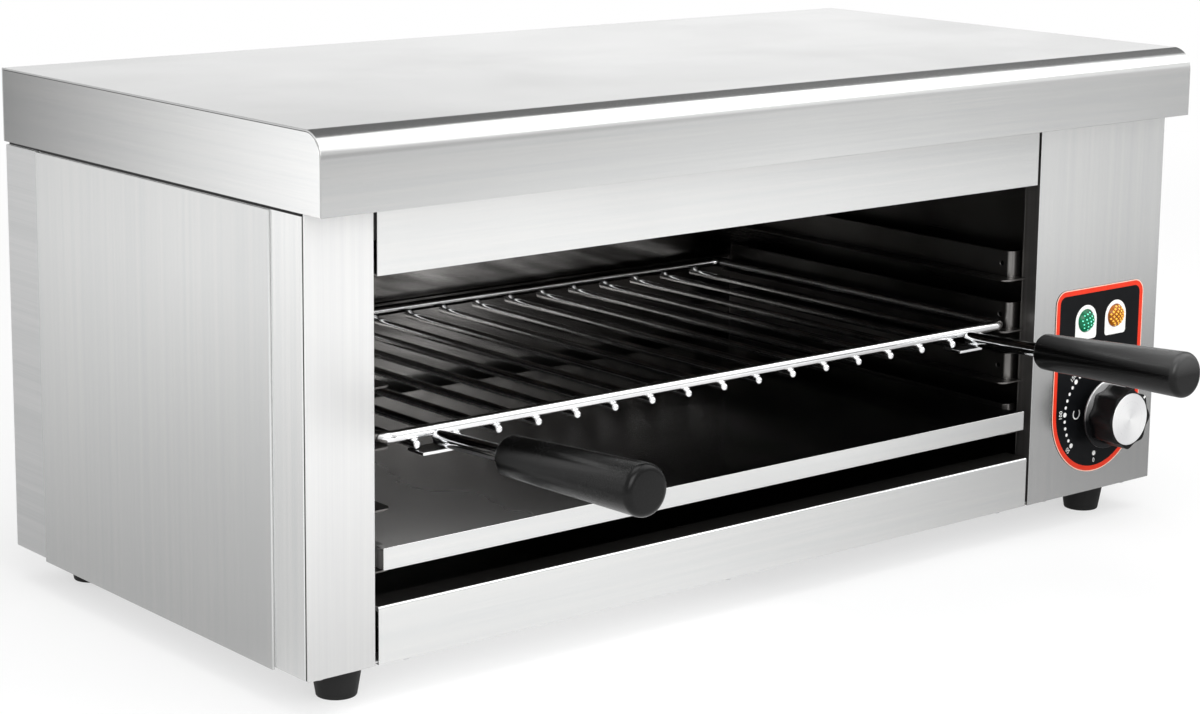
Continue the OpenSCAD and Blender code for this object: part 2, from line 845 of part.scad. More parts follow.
module crumb_tray() {
    z_top = z_tray_ledge + seat_gap + tray_skirt_h;
    lip_u = open_u - 5.3;
    y1 = y_tray0 + tray_d;
    y_wide = y_ledge0 - 2;
    color(steel) placed() translate([xc, 0, 0]) {
        box(-tray_u, tray_u, y_tray0, y1, z_top - sheet_t, z_top);
        box(-lip_u, lip_u, y_tray0, y_wide, z_top - sheet_t, z_top);
        box(-lip_u, lip_u, y_tray0, y_tray0 + sheet_t, z_top - tray_lip_h, z_top);
        for (s = [-1, 1]) mirror_if(s < 0)
            box(tray_u - sheet_t, tray_u, y_wide, y1, z_top - tray_skirt_h, z_top);
        box(-tray_u, tray_u, y1 - sheet_t, y1, z_top - tray_skirt_h, z_top);
    }
}

// ---------------------------------------------------------------- controls

module dial_outline() {
    corner = 8;
    half = dial_w / 2;
    base = dial_top - dial_h + half;
    translate([0, base]) circle(r = half, $fn = 96);
    rect(-half, half, base, dial_top - corner);
    rect(-half + corner, half - corner, base, dial_top);
    for (s = [-1, 1]) translate([s * (half - corner), dial_top - corner]) circle(r = corner);
}

module dial_plate() {
    color([0.12, 0.12, 0.13]) placed() difference() {
        translate([knob_x, 0, 0]) along_y(y_dial, y_front) dial_outline();
        panel_holes();
    }
}

module lamp_lens(i) {
    r = lamp_d / 2;
    reach = 3.8;
    dome = (r * r + reach * reach) / (2 * reach);
    translate([lamp_x[i], y_dial, lamp_z]) intersection() {
        translate([0, dome - reach, 0]) sphere(r = dome, $fn = 64);
        rotate([90, 0, 0]) cylinder(h = reach, r = r);
    }
}

module lamp_lens_green() {
    color([0.06, 0.55, 0.36]) placed() lamp_lens(0);
}

module lamp_lens_amber() {
    color([0.9, 0.55, 0.1]) placed() lamp_lens(1);
}

module lamp_bodies() {
    color([0.9, 0.9, 0.88]) placed() for (x = lamp_x) {
        rod_y(barrel_r, x, y_dial, y_in + 20, lamp_z);
        rod_y(barrel_r + 2.5, x, y_in, y_in + 3, lamp_z);
        for (s = [-1, 1]) translate([x + s * 2.5, y_in + 20, lamp_z - 3]) cube([0.8, 8, 5]);
    }
}

module thermostat_body() {
    color([0.82, 0.8, 0.72]) placed() difference() {
        union() {
            rod_y(thermo_r, knob_x, y_in, y_in + thermo_l, knob_z);
            rod_y(neck_r, knob_x, y_dial + 0.1, y_in, knob_z);
            for (s = [-1, 1]) translate([knob_x + s * 8 - 3, y_in + thermo_l, knob_z + 6])
                cube([6, 8, 0.8]);
        }
        rod_y(shaft_r + pin_gap, knob_x, y_dial - 1, y_in + shaft_in + pin_gap, knob_z);
        for (s = [-1, 1])
            rod_y(screw_r + hole_gap, knob_x + s * thermo_screw, y_in - 1, y_in + 9, knob_z);
    }
}

module thermostat_screws() {
    color(steel) placed() for (s = [-1, 1])
        translate([knob_x + s * thermo_screw, y_front, knob_z]) rotate([-90, 0, 0]) {
            cylinder(h = sheet_t, r1 = head_r, r2 = screw_r);
            cylinder(h = sheet_t + 8, r = screw_r);
        }
}

// ---------------------------------------------------------------- knob, turns on knob_turn

module thermostat_shaft() {
    color(brass) placed() rod_y(shaft_r, knob_x, y_knob + shaft_cover, y_in + shaft_in, knob_z);
}

module knob_body() {
    color(black) placed() difference() {
        union() {
            rod_y(knob_d / 2, knob_x, y_knob, y_grip1, knob_z);
            rod_y(hub_r, knob_x, y_grip1 - 1, y_hub1, knob_z);
        }
        for (i = [0.5 : flute_count]) rotate_about_knob(pointer_angle + i * 360 / flute_count)
            rod_y(flute_r, knob_x + flute_floor_r + flute_r, y_knob - 1, y_grip1 + 1, knob_z);
        rod_y(cap_d / 2 + cap_gap, knob_x, y_knob - 1, y_knob + cap_t, knob_z);
        rod_y(shaft_r + press_gap, knob_x, y_knob + shaft_cover - pin_gap, y_hub1 + 1, knob_z);
        pointer_slot(knob_d / 2 + 1, y_knob - 1);
    }
}

module rotate_about_knob(a) {
    translate([knob_x, 0, knob_z]) rotate([0, -a, 0]) translate([-knob_x, 0, -knob_z]) children();
}

// the slot for the pointer mark, which opens at the grip's front and side
module pointer_slot(reach, y0) {
    rotate_about_knob(pointer_angle)
        box(knob_x + knob_d / 2 - pointer_l, knob_x + reach, y0, y_knob + pointer_deep,
            knob_z - pointer_w / 2, knob_z + pointer_w / 2);
}

module knob_pointer() {
    color("white") placed() pointer_slot(knob_d / 2 - 0.2, y_knob);
}

module knob_ring() {
    color(chrome) placed() difference() {
        rod_y(knob_ring_d / 2, knob_x, y_grip1, y_ring1, knob_z);
        rod_y(hub_r + ring_gap, knob_x, y_grip1 - 1, y_ring1 + 1, knob_z);
    }
}

module knob_cap() {
    color([0.8, 0.8, 0.82]) placed() rod_y(cap_d / 2, knob_x, y_knob, y_knob + cap_t, knob_z);
}

// ---------------------------------------------------------------- sensor and wiring

capillary_y = leg_y[1] + element_gap / 2;
bulb_l = element_gap - element_d - 6;
bulb_r = 3;
bulb_x = xc + wall_u - 7;
bulb_y0 = capillary_y - bulb_l / 2;
capillary_r = 1;
wire_r_in = 1.5;

module sensing_bulb() {
    color(chrome) placed() rod_y(bulb_r, bulb_x, bulb_y0, bulb_y0 + bulb_l, z_element);
}

module bulb_clips() {
    color(steel) placed() for (y = [bulb_y0 + 6, bulb_y0 + bulb_l - 10]) difference() {
        box(bulb_x - 4.2, xc + wall_u, y, y + 4, z_element - 4.2, z_element + 4.2);
        rod_y(bulb_r + hole_gap, bulb_x, y - 1, y + 5, z_element);
    }
}

module capillary_tube() {
    y_th = y_in + thermo_l;
    route = [
        [knob_x - 6, y_th + seat_gap, knob_z - 8], [knob_x - 6, y_th + 5, knob_z - 8],
        [knob_x - 6, y_th + 10, knob_z - 8],
        [knob_x - 16, y_th + 30, knob_z + 4], [box_x0 + 10, y_th + 60, knob_z + 50],
        [box_x0 + 8, capillary_y - 16, z_element - 40], [box_x0 + 7, capillary_y - 4, z_element - 8],
        [box_x0 + 4, capillary_y, z_element], [bulb_x + bulb_r + 0.4, capillary_y, z_element],
    ];
    color([0.75, 0.5, 0.35]) placed() tube(smooth(route, 4), capillary_r);
}

block_l = 40;
block_d = 18;
block_h = 18;
block_y = y_back - 53;
pocket_pitch = 12;
pocket_deep = 10;
pocket_r = 3.6;

module terminal_block() {
    color([0.88, 0.87, 0.82]) placed() difference() {
        box(gland_x - block_l / 2, gland_x + block_l / 2, block_y - block_d / 2, block_y + block_d / 2,
            z_floor, z_floor + block_h);
        for (i = [-1, 0, 1]) translate([gland_x + i * pocket_pitch, block_y, z_floor + block_h - pocket_deep])
            cylinder(h = pocket_deep + 1, r = pocket_r);
    }
}

module earth_stud() {
    color(brass) placed() translate([gland_x - 34, y_back - 40, z_floor]) {
        cylinder(h = 14, r = 2);
        cylinder(h = 3, r = 4, $fn = 6);
    }
}

// the leads from the terminal block to the thermostat, the lamps and the elements
module wiring() {
    z_block = z_floor + block_h;
    y_th = y_in + thermo_l + 8;
    lead = [for (i = [-1, 0, 1]) [gland_x + i * pocket_pitch, block_y, z_block]];
    x_post = x_element_end + 15 + seat_gap;
    y_tab = y_th + seat_gap;
    routes = [
        [lead[0] + [0, 0, -6], lead[0], lead[0] + [0, 0, 8],
            [gland_x - pocket_pitch, block_y - 40, z_floor + 40], [knob_x - 8, y_tab + 60, knob_z + 4],
            [knob_x - 8, y_tab + 16, knob_z + 6.4], [knob_x - 8, y_tab + 8, knob_z + 6.4],
            [knob_x - 8, y_tab, knob_z + 6.4]],
        [lead[1] + [0, 0, -6], lead[1], lead[1] + [0, 0, 10],
            [gland_x + 4, block_y - 30, z_floor + 90], [x_post + 18, last(leg_y) - 12, z_element - 30],
            [x_post + 12, last(leg_y), z_element - 3], [x_post + 6, last(leg_y), z_element],
            [x_post, last(leg_y), z_element]],
        [[knob_x + 8, y_tab, knob_z + 6.4], [knob_x + 8, y_tab + 8, knob_z + 6.4],
            [knob_x + 9, y_tab + 14, knob_z + 12], [knob_x + 14, y_tab + 8, knob_z + 70],
            [x_post + 18, leg_y[0] + 6, z_element - 24], [x_post + 12, leg_y[0], z_element - 3],
            [x_post + 6, leg_y[0], z_element], [x_post, leg_y[0], z_element]],
    ];
    color([0.55, 0.1, 0.08]) placed() for (r = routes) tube(smooth(r, 4), wire_r_in);
}

module cable_gland() {
    color([0.1, 0.1, 0.1]) placed() difference() {
        union() {
            rod_y(gland_r, gland_x, y_back - 11, y_back, gland_z);
            rod_y(gland_hex, gland_x, y_back, y_back + 5, gland_z, $fn = 6);
            translate([gland_x, y_back + 5, gland_z]) rotate([-90, 0, 0])
                cylinder(h = gland_reach - 5, r1 = gland_r + 2, r2 = gland_r - 1);
        }
        rod_y(gland_bore / 2, gland_x, y_back - 12, y_back + gland_reach + 1, gland_z);
    }
}

module gland_nut() {
    color([0.1, 0.1, 0.1]) placed() difference() {
        rod_y(gland_hex, gland_x, y_back_in - 5, y_back_in, gland_z, $fn = 6);
        rod_y(gland_r + hole_gap, gland_x, y_back_in - 6, y_back, gland_z);
    }
}

// ---------------------------------------------------------------- feet and screws

module foot(i) {
    recess_r = 5.6;
    recess_h = 7;
    color(black) placed() translate([foot_xy[i][0], foot_xy[i][1], 0]) difference() {
        union() {
            cylinder(h = z_plate - 2, r1 = foot_d2 / 2, r2 = foot_d1 / 2);
            translate([0, 0, z_plate - 2]) cylinder(h = 2, r = foot_d1 / 2);
        }
        translate([0, 0, -1]) cylinder(h = recess_h + 1, r = recess_r);
        translate([0, 0, -1]) cylinder(h = z_plate + 2, r = foot_screw_r + hole_gap);
    }
}

module foot_front_left() {
    foot(0);
}

module foot_front_right() {
    foot(1);
}

module foot_rear_left() {
    foot(2);
}

module foot_rear_right() {
    foot(3);
}

module foot_screws() {
    recess_h = 7;
    color(steel) placed() for (p = foot_xy) translate([p[0], p[1], 0]) {
        translate([0, 0, recess_h - 3]) cylinder(h = 3, r = 4.8);
        translate([0, 0, recess_h]) cylinder(h = z_floor + 6 - recess_h, r = foot_screw_r);
        translate([0, 0, z_floor]) cylinder(h = 4, r = 4.6, $fn = 6);
    }
}

module screw(l) {
    cylinder(h = head_h, r = head_r, $fn = 24);
    translate([0, 0, -l]) cylinder(h = l, r = screw_r, $fn = 24);
}

module casing_screws() {
    color(steel) placed() {
        at_bottom_screws() rotate([180, 0, 0]) screw(5);
        at_back_screws() rotate([-90, 0, 0]) screw(6);
        at_hood_screws() rotate([-90, 0, 0]) screw(5);
    }
}

// ---------------------------------------------------------------- drawing

hood_sheet();
hood_end_left();
hood_end_right();
front_post();
fascia();
bottom_rail();
control_panel();
front_crossbar();
side_frame_left();
side_frame_right();
side_cover_left();
side_cover_right();
back_panel();
base_plate();
floor_pan();
cavity_wall_left();
cavity_wall_right();
cavity_back();
cavity_ceiling();
insulation();
guides_left();
guides_right();
element_front();
element_rear();
element_hangers();
element_nuts();
element_terminals();
rack_frame();
rack_wires();
rack_brackets();
handle_rod_left();
handle_rod_right();
grip_left();
grip_right();
crumb_tray();
dial_plate();
lamp_lens_green();
lamp_lens_amber();
lamp_bodies();
thermostat_body();
thermostat_shaft();
thermostat_screws();
knob_body();
knob_ring();
knob_cap();
knob_pointer();
capillary_tube();
sensing_bulb();
bulb_clips();
terminal_block();
wiring();
earth_stud();
cable_gland();
gland_nut();
foot_front_left();
foot_front_right();
foot_rear_left();
foot_rear_right();
foot_screws();
casing_screws();
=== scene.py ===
# %% [markdown]
# # A countertop cheese melter
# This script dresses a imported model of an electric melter: a stainless casing under an overhanging
# hood, a wire rack with two handles, a crumb tray, and a control panel with a knob and two lamps.
# The solids come in first as a fixed frame, and every piece below is fitted to them.

# %% Load the frame
import json
import math

import bmesh
import bpy
from mathutils import Matrix, Vector

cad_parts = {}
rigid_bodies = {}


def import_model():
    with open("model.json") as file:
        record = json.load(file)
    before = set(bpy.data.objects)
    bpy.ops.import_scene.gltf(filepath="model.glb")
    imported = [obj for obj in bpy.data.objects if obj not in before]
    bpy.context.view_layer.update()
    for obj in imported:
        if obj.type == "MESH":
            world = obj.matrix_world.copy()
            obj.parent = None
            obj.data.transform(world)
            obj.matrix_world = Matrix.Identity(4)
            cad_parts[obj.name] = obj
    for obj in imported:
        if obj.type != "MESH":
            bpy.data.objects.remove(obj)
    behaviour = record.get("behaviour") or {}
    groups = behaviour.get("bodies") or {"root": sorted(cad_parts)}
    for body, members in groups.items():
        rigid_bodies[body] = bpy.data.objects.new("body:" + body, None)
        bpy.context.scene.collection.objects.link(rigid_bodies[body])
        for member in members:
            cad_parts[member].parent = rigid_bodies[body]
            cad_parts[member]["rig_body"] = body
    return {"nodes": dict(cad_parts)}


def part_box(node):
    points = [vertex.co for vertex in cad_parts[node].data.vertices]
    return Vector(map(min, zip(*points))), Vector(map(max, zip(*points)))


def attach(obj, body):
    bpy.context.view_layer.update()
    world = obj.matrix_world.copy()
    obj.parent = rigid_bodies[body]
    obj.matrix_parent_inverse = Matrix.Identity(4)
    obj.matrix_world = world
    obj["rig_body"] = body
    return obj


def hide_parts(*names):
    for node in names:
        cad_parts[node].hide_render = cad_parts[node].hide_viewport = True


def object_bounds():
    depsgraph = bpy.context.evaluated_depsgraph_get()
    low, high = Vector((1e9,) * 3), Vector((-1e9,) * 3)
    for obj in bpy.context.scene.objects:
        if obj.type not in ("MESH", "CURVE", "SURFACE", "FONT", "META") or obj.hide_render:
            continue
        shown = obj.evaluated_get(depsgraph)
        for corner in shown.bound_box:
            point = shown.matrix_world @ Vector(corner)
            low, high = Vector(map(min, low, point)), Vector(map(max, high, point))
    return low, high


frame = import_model()
cad_low, cad_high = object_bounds()
MM = 0.001
print("solids:", len(frame["nodes"]), "size in mm:", [round(x / MM) for x in cad_high - cad_low])

# %% [markdown]
# ## The camera
# The picture was taken from the left, a little above the hood, with a long lens. The eye is given in
# hood widths from the middle of the hood's front edge, because a photograph fixes only ratios. The
# lens is shifted a little, so that the upright edges stay nearly parallel as they do in the picture.

# %% Place the camera
HOOD_WIDTH = cad_high.x - cad_low.x
HOOD_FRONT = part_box("hood_sheet")[0].y
CASING_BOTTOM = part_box("side_frame_left")[0].z
EYE = Vector((-1.6060, -1.6503, 0.7074))
YAW, PITCH, ROLL = (math.radians(a) for a in (39.738, 10.5476, 0.6382))
PICTURE_WIDTH, FOCAL_PIXELS = 1200, 2738
SENSOR_WIDTH, LENS_SHIFT = 36, -0.085


def in_scene(name, data):
    """A new object in the scene."""
    made = bpy.data.objects.new(name, data)
    bpy.context.scene.collection.objects.link(made)
    return made


def camera_turn():
    """The camera's axes as a rotation, from its yaw, pitch and roll."""
    level = Vector((math.sin(YAW), math.cos(YAW), 0))
    side = Vector((math.cos(YAW), -math.sin(YAW), 0))
    up = Vector((0, 0, 1))
    ahead = level * math.cos(PITCH) - up * math.sin(PITCH)
    top = up * math.cos(PITCH) + level * math.sin(PITCH)
    right = side * math.cos(ROLL) + top * math.sin(ROLL)
    top = top * math.cos(ROLL) - side * math.sin(ROLL)
    return Matrix((right, top, -ahead)).transposed()


camera = in_scene("camera", bpy.data.cameras.new("camera"))
eye_place = EYE * HOOD_WIDTH + Vector((0, HOOD_FRONT, CASING_BOTTOM))
camera.matrix_world = Matrix.Translation(eye_place) @ camera_turn().to_4x4()
camera.data.sensor_width = SENSOR_WIDTH
camera.data.lens = FOCAL_PIXELS / PICTURE_WIDTH * SENSOR_WIDTH
camera.data.shift_y = LENS_SHIFT
bpy.context.scene.camera = camera
bpy.context.scene.view_settings.view_transform = "Standard"
print("camera at", [round(x, 3) for x in eye_place], "lens", round(camera.data.lens, 1), "mm")

# %% [markdown]
# ## Short ways to build node trees
# Every finish is a tree of nodes, and so is every repeated form. One helper adds a node and fills its
# sockets, by value or by a link. The others name the steps that come up again and again: arithmetic,
# taking a vector apart, and going softly or evenly from one number to another.


# %% Helpers for nodes
def add_node(tree, kind, inputs=None, **settings):
    """Adds a node. Its sockets, by name or number, get a value or a link from another socket."""
    node = tree.nodes.new(kind)
    for setting, value in settings.items():
        setattr(node, setting, value)
    for socket, value in (inputs or {}).items():
        if isinstance(value, bpy.types.NodeSocket):
            tree.links.new(value, node.inputs[socket])
        else:
            node.inputs[socket].default_value = value
    return node


def result(tree, kind, inputs=None, **settings):
    """Adds a node and gives its first output."""
    return add_node(tree, kind, inputs, **settings).outputs[0]


def step(tree, operation, *terms):
    """One step of arithmetic on numbers or sockets."""
    return result(tree, "ShaderNodeMath", dict(enumerate(terms)), operation=operation)


def vector_step(tree, operation, inputs, output="Vector"):
    """One step of arithmetic on vectors. A length or a dot product comes out as Value."""
    return add_node(tree, "ShaderNodeVectorMath", inputs, operation=operation).outputs[output]


def split(tree, vector):
    """A vector's x, y and z."""
    return add_node(tree, "ShaderNodeSeparateXYZ", {0: vector}).outputs


def joined(tree, x=0.0, y=0.0, z=0.0):
    """A vector from its x, y and z."""
    return result(tree, "ShaderNodeCombineXYZ", {0: x, 1: y, 2: z})


def between(tree, share, first, second):
    """first where share is 0, second where it is 1."""
    return result(tree, "ShaderNodeMapRange", {0: share, 3: first, 4: second})


def blend(tree, factor, start, end, low, high):
    """low until factor reaches start, high from end on, and a soft step in between."""
    inputs = dict(enumerate((factor, start, end, low, high)))
    return result(tree, "ShaderNodeMapRange", inputs, interpolation_type="SMOOTHSTEP")


print("node helpers are ready")

# %% [markdown]
# ## A way to write finishes
# A finish starts with its shader and the place on the object, in metres, and marks are laid on it one
# after another: soft random mottle, tones, roughness and relief. Colours are written as they look on a
# screen and turned into the linear values that nodes want.


# %% Helpers for finishes
def tone(screen):
    """A colour from its screen hex, as the linear values of a socket."""
    parts = [int(screen[i:i + 2], 16) / 255 for i in (1, 3, 5)]
    return [p / 12.92 if p <= 0.04045 else ((p + 0.055) / 1.055) ** 2.4 for p in parts] + [1.0]


class Finish:
    """A material under way: its tree, its shader and the marks that are laid on it."""

    def __init__(self, name, **shader):
        self.material = bpy.data.materials.new(name)
        self.material.use_nodes = True
        self.tree = self.material.node_tree
        self.shader = self.tree.nodes["Principled BSDF"]
        self.place = add_node(self.tree, "ShaderNodeTexCoord").outputs["Object"]
        for socket, value in shader.items():
            self.shader.inputs[socket.replace("_", " ")].default_value = value

    def stretched(self, per_metre, place=None, turn=(0, 0, 0), middle=(0, 0, 0)):
        """The place on the object times so many features a metre, on all axes or each."""
        return result(self.tree, "ShaderNodeMapping", {
            "Vector": self.place if place is None else place, "Rotation": turn, "Location": middle,
            "Scale": (per_metre,) * 3 if isinstance(per_metre, int) else per_metre})

    def mottle(self, per_metre, detail=2.0, warp=0.0, place=None):
        """Soft random marks, from 0 to 1."""
        return result(self.tree, "ShaderNodeTexNoise", {
            "Vector": self.stretched(per_metre, place), "Scale": 1.0, "Detail": detail, "Distortion": warp})

    def along(self, axis):
        """The place on one axis."""
        return split(self.tree, self.place)[axis]

    def spread(self, factor, low, high, start=0.0, end=1.0):
        """factor between start and end becomes low to high."""
        return result(self.tree, "ShaderNodeMapRange", {0: factor, 1: start, 2: end, 3: low, 4: high})

    def mix(self, factor, first, second, blend_type="MIX"):
        """first where factor is 0, second where it is 1."""
        return add_node(self.tree, "ShaderNodeMix", {0: factor, 6: first, 7: second},
                        data_type="RGBA", blend_type=blend_type).outputs[2]

    def tones(self, factor, dark, light, start=0.3, end=0.7):
        """The dark tone where factor is under start, the light one where it is over end."""
        return self.mix(self.spread(factor, 0, 1, start, end), tone(dark), tone(light))

    def sums(self, operation, *terms):
        """One step of arithmetic."""
        return step(self.tree, operation, *terms)

    def lay(self, socket, value):
        """Joins a pattern to one of the shader's sockets."""
        self.tree.links.new(value, self.shader.inputs[socket])

    def relief(self, height, depth_mm, strength=1.0):
        """Raises the surface by a pattern's height, up to depth_mm."""
        self.lay("Normal", result(self.tree, "ShaderNodeBump", {
            "Height": height, "Distance": depth_mm * MM, "Strength": strength}))


print("a mid grey is", [round(x, 3) for x in tone("#808080")])

# %% [markdown]
# ## The floor
# A catalogue picture is lit by big soft boxes over a white sweep. The floor is white to the camera and
# still takes the melter's shadow: its material mixes plain white light with a white paint that the
# lamps have to light. Polished steel is mostly a picture of the room, so its tones come from what
# reflections see of the floor. That is white on the side of the key light, at the front left, and grey
# on the side turned away, darker beside the casing and far in front, and close to the front it goes
# from dark at the left over white to grey at the right.

# %% How white steel sees the floor
KEY_WAY = (-0.81, -0.59, 0.0)
KEY_TONE, AWAY_TONE, AWAY_ZONE = 1.16, 0.46, (-0.75, -0.05)
BACK_SHARE, BACK_ZONE = 0.50, (0.70, 0.95)
BEHIND_ZONE, BESIDE_ZONE = (-0.35, 0.15), (-0.40, 0.0)
SIDE_NEAR_SHARE, SIDE_NEAR_ZONE = 0.56, (0.4, 1.6)
FRONT_FAR_SHARE, FRONT_FAR_ZONE = 0.60, (1.3, 2.1)
CLOSE_TONES, CLOSE_ZONE = (0.55, 1.08, 0.68), (0.12, 0.55)
CLOSE_LEFT, CLOSE_RIGHT = (-0.35, -0.26), (-0.1, 0.3)


def floor_level(tree, place):
    """The floor's white in reflections, by the way and the distance from the melter."""
    way = vector_step(tree, "NORMALIZE", {0: place})
    turned = vector_step(tree, "DOT_PRODUCT", {0: way, 1: KEY_WAY}, "Value")
    behind = split(tree, way)[1]
    by_way = step(tree, "MULTIPLY", blend(tree, turned, *AWAY_ZONE, AWAY_TONE, KEY_TONE),
                  blend(tree, behind, *BACK_ZONE, 1.0, BACK_SHARE))
    distance = vector_step(tree, "LENGTH", {0: place}, "Value")
    back = blend(tree, behind, *BEHIND_ZONE, 0.0, 1.0)
    beside = step(tree, "MAXIMUM", back, blend(tree, turned, *BESIDE_ZONE, 1.0, 0.0))
    near_fall = between(tree, beside, 1.0, blend(tree, distance, *SIDE_NEAR_ZONE, SIDE_NEAR_SHARE, 1.0))
    far_fall = between(tree, back, blend(tree, distance, *FRONT_FAR_ZONE, 1.0, FRONT_FAR_SHARE), 1.0)
    wide = step(tree, "MULTIPLY", by_way, step(tree, "MULTIPLY", near_fall, far_fall))
    across = split(tree, place)[0]
    left, middle, right = CLOSE_TONES
    close = step(tree, "MULTIPLY", blend(tree, across, *CLOSE_LEFT, left, middle),
                 blend(tree, across, *CLOSE_RIGHT, 1.0, right / middle))
    return between(tree, blend(tree, distance, *CLOSE_ZONE, 0.0, 1.0), close, wide)


print("floor tones towards the key light and away from it:", KEY_TONE, AWAY_TONE)

# %% Lay the floor
FLOOR_HALF, FLOOR_PAINT = 30.0, 0.86
SHADOW_SHARE, SHADOW_ZONE = 0.42, (0.7, 1.9)


def floor_finish():
    """White to the camera and in steel, with the object's shadow on it."""
    material = bpy.data.materials.new("white_sweep")
    material.use_nodes = True
    tree = material.node_tree
    tree.nodes.remove(tree.nodes["Principled BSDF"])
    rays = add_node(tree, "ShaderNodeLightPath").outputs
    place = add_node(tree, "ShaderNodeTexCoord").outputs["Object"]
    seen = step(tree, "MAXIMUM", step(tree, "MAXIMUM", rays["Is Camera Ray"], rays["Is Glossy Ray"]),
                rays["Is Transmission Ray"])
    distance = vector_step(tree, "LENGTH", {0: place}, "Value")
    white_share = step(tree, "MULTIPLY", seen, blend(tree, distance, *SHADOW_ZONE, 1 - SHADOW_SHARE, 1.0))
    level = step(tree, "MAXIMUM", floor_level(tree, place), rays["Is Camera Ray"])
    tint = vector_step(tree, "SCALE", {0: (FLOOR_PAINT,) * 3, "Scale": level})
    paint = result(tree, "ShaderNodeBsdfDiffuse", {"Color": tint})
    white = result(tree, "ShaderNodeEmission", {"Color": (1, 1, 1, 1), "Strength": level})
    both = result(tree, "ShaderNodeMixShader", {0: white_share, 1: paint, 2: white})
    tree.links.new(both, tree.nodes["Material Output"].inputs["Surface"])
    return material


floor_mesh = bpy.data.meshes.new("floor")
corners = [(x * FLOOR_HALF, y * FLOOR_HALF, 0) for x, y in ((-1, -1), (1, -1), (1, 1), (-1, 1))]
floor_mesh.from_pydata(corners, [], [(0, 1, 2, 3)])
floor_mesh.materials.append(floor_finish())
floor = in_scene("floor", floor_mesh)
print("floor", 2 * FLOOR_HALF, "m square, shadows take", SHADOW_SHARE, "of its white")

# %% [markdown]
# ## The sky and the soft boxes
# Four flat lamps stand round the melter: a strong one at the front left, and weaker ones at the right,
# behind and overhead. The sky is white to the camera. For the light it is a pale dome, brighter low
# down where the top sheet mirrors it, lower in front, and with one dark wedge on the right, which
# gives the hood's rolled edge its dark line.

# %% The sky
SKY_PLAIN, SKY_LOW, SKY_AHEAD, SKY_DARK = 0.80, 1.03, 0.62, 0.10
LOW_ZONE = (0.16, 0.34)
AHEAD_ZONE, AHEAD_RISE = (-0.3, 0.0), (0.06, 0.2)
DARK_RIGHT, DARK_FROM, DARK_TO = (0.15, 0.45), (14, 22), (86, 96)


def sky():
    """White behind the object; for the light, a pale dome with a dark wedge on the right."""
    world = bpy.data.worlds.new("studio")
    world.use_nodes = True
    tree = world.node_tree
    camera_ray = add_node(tree, "ShaderNodeLightPath").outputs["Is Camera Ray"]
    x, y, z = split(tree, add_node(tree, "ShaderNodeTexCoord").outputs["Generated"])
    ahead = step(tree, "MULTIPLY", blend(tree, y, *AHEAD_ZONE, 1.0, 0.0), blend(tree, z, *AHEAD_RISE, 1.0, 0.0))
    pale = between(tree, ahead, blend(tree, z, *LOW_ZONE, SKY_LOW, SKY_PLAIN), SKY_AHEAD)
    climb = step(tree, "ARCTAN2", z, y)
    dark = step(tree, "MULTIPLY", blend(tree, x, *DARK_RIGHT, 0.0, 1.0),
                blend(tree, climb, *map(math.radians, DARK_FROM), 0.0, 1.0))
    dark = step(tree, "MULTIPLY", dark, blend(tree, climb, *map(math.radians, DARK_TO), 1.0, 0.0))
    background = tree.nodes["Background"].inputs
    background["Color"].default_value = (1, 1, 1, 1)
    strength = step(tree, "MAXIMUM", between(tree, dark, pale, SKY_DARK), camera_ray)
    tree.links.new(strength, background["Strength"])
    return world


bpy.context.scene.world = sky()
print("sky from", SKY_DARK, "to", SKY_LOW)

# %% The soft boxes
SOFT_BOXES = {
    # name: (place in metres, width, height, watts)
    "front_left_box": ((-0.9, -2.1, 1.25), 1.5, 1.3, 25),
    "right_box": ((1.05, -0.85, 1.45), 1.5, 1.6, 13),
    "back_left_box": ((-2.0, 1.2, 1.3), 1.4, 1.2, 5),
    "top_box": ((-0.2, -0.2, 2.3), 1.4, 1.4, 14),
}
for box_name, (place, width, height, watts) in SOFT_BOXES.items():
    lamp = bpy.data.lights.new(box_name, "AREA")
    lamp.shape = "RECTANGLE"
    lamp.size, lamp.size_y, lamp.energy = width, height, watts
    towards = ((cad_low + cad_high) / 2 - Vector(place)).to_track_quat("-Z", "Y").to_matrix().to_4x4()
    in_scene(box_name, lamp).matrix_world = Matrix.Translation(place) @ towards
print("soft boxes:", len(SOFT_BOXES))

# %% [markdown]
# ## Steel finishes
# The casing is brushed stainless sheet. Brushing leaves fine scratches that run one way, so a noise is
# stretched along that way: long and hardly wider than a hair across. The same noise changes the tone,
# the roughness and the height a little, and a second, cloudy one keeps large faces from looking flat.
# Hood, fascia and rail were brushed along their length, the upright sheets from top to bottom.

# %% Brushed steel
GRAIN_ACROSS, GRAIN_ALONG = 2600, 22
BAND_SCALE, BAND_SHARE, HAIR_SHARE = 0.12, 0.6, 0.4
CLOUD_PER_METRE = (7, 9, 8)
WORN_BY = 0.03
BRUSH_DEPTH, BRUSH_STRENGTH = 0.002, 0.03
GAP_SHADE_TONE = "#101010"


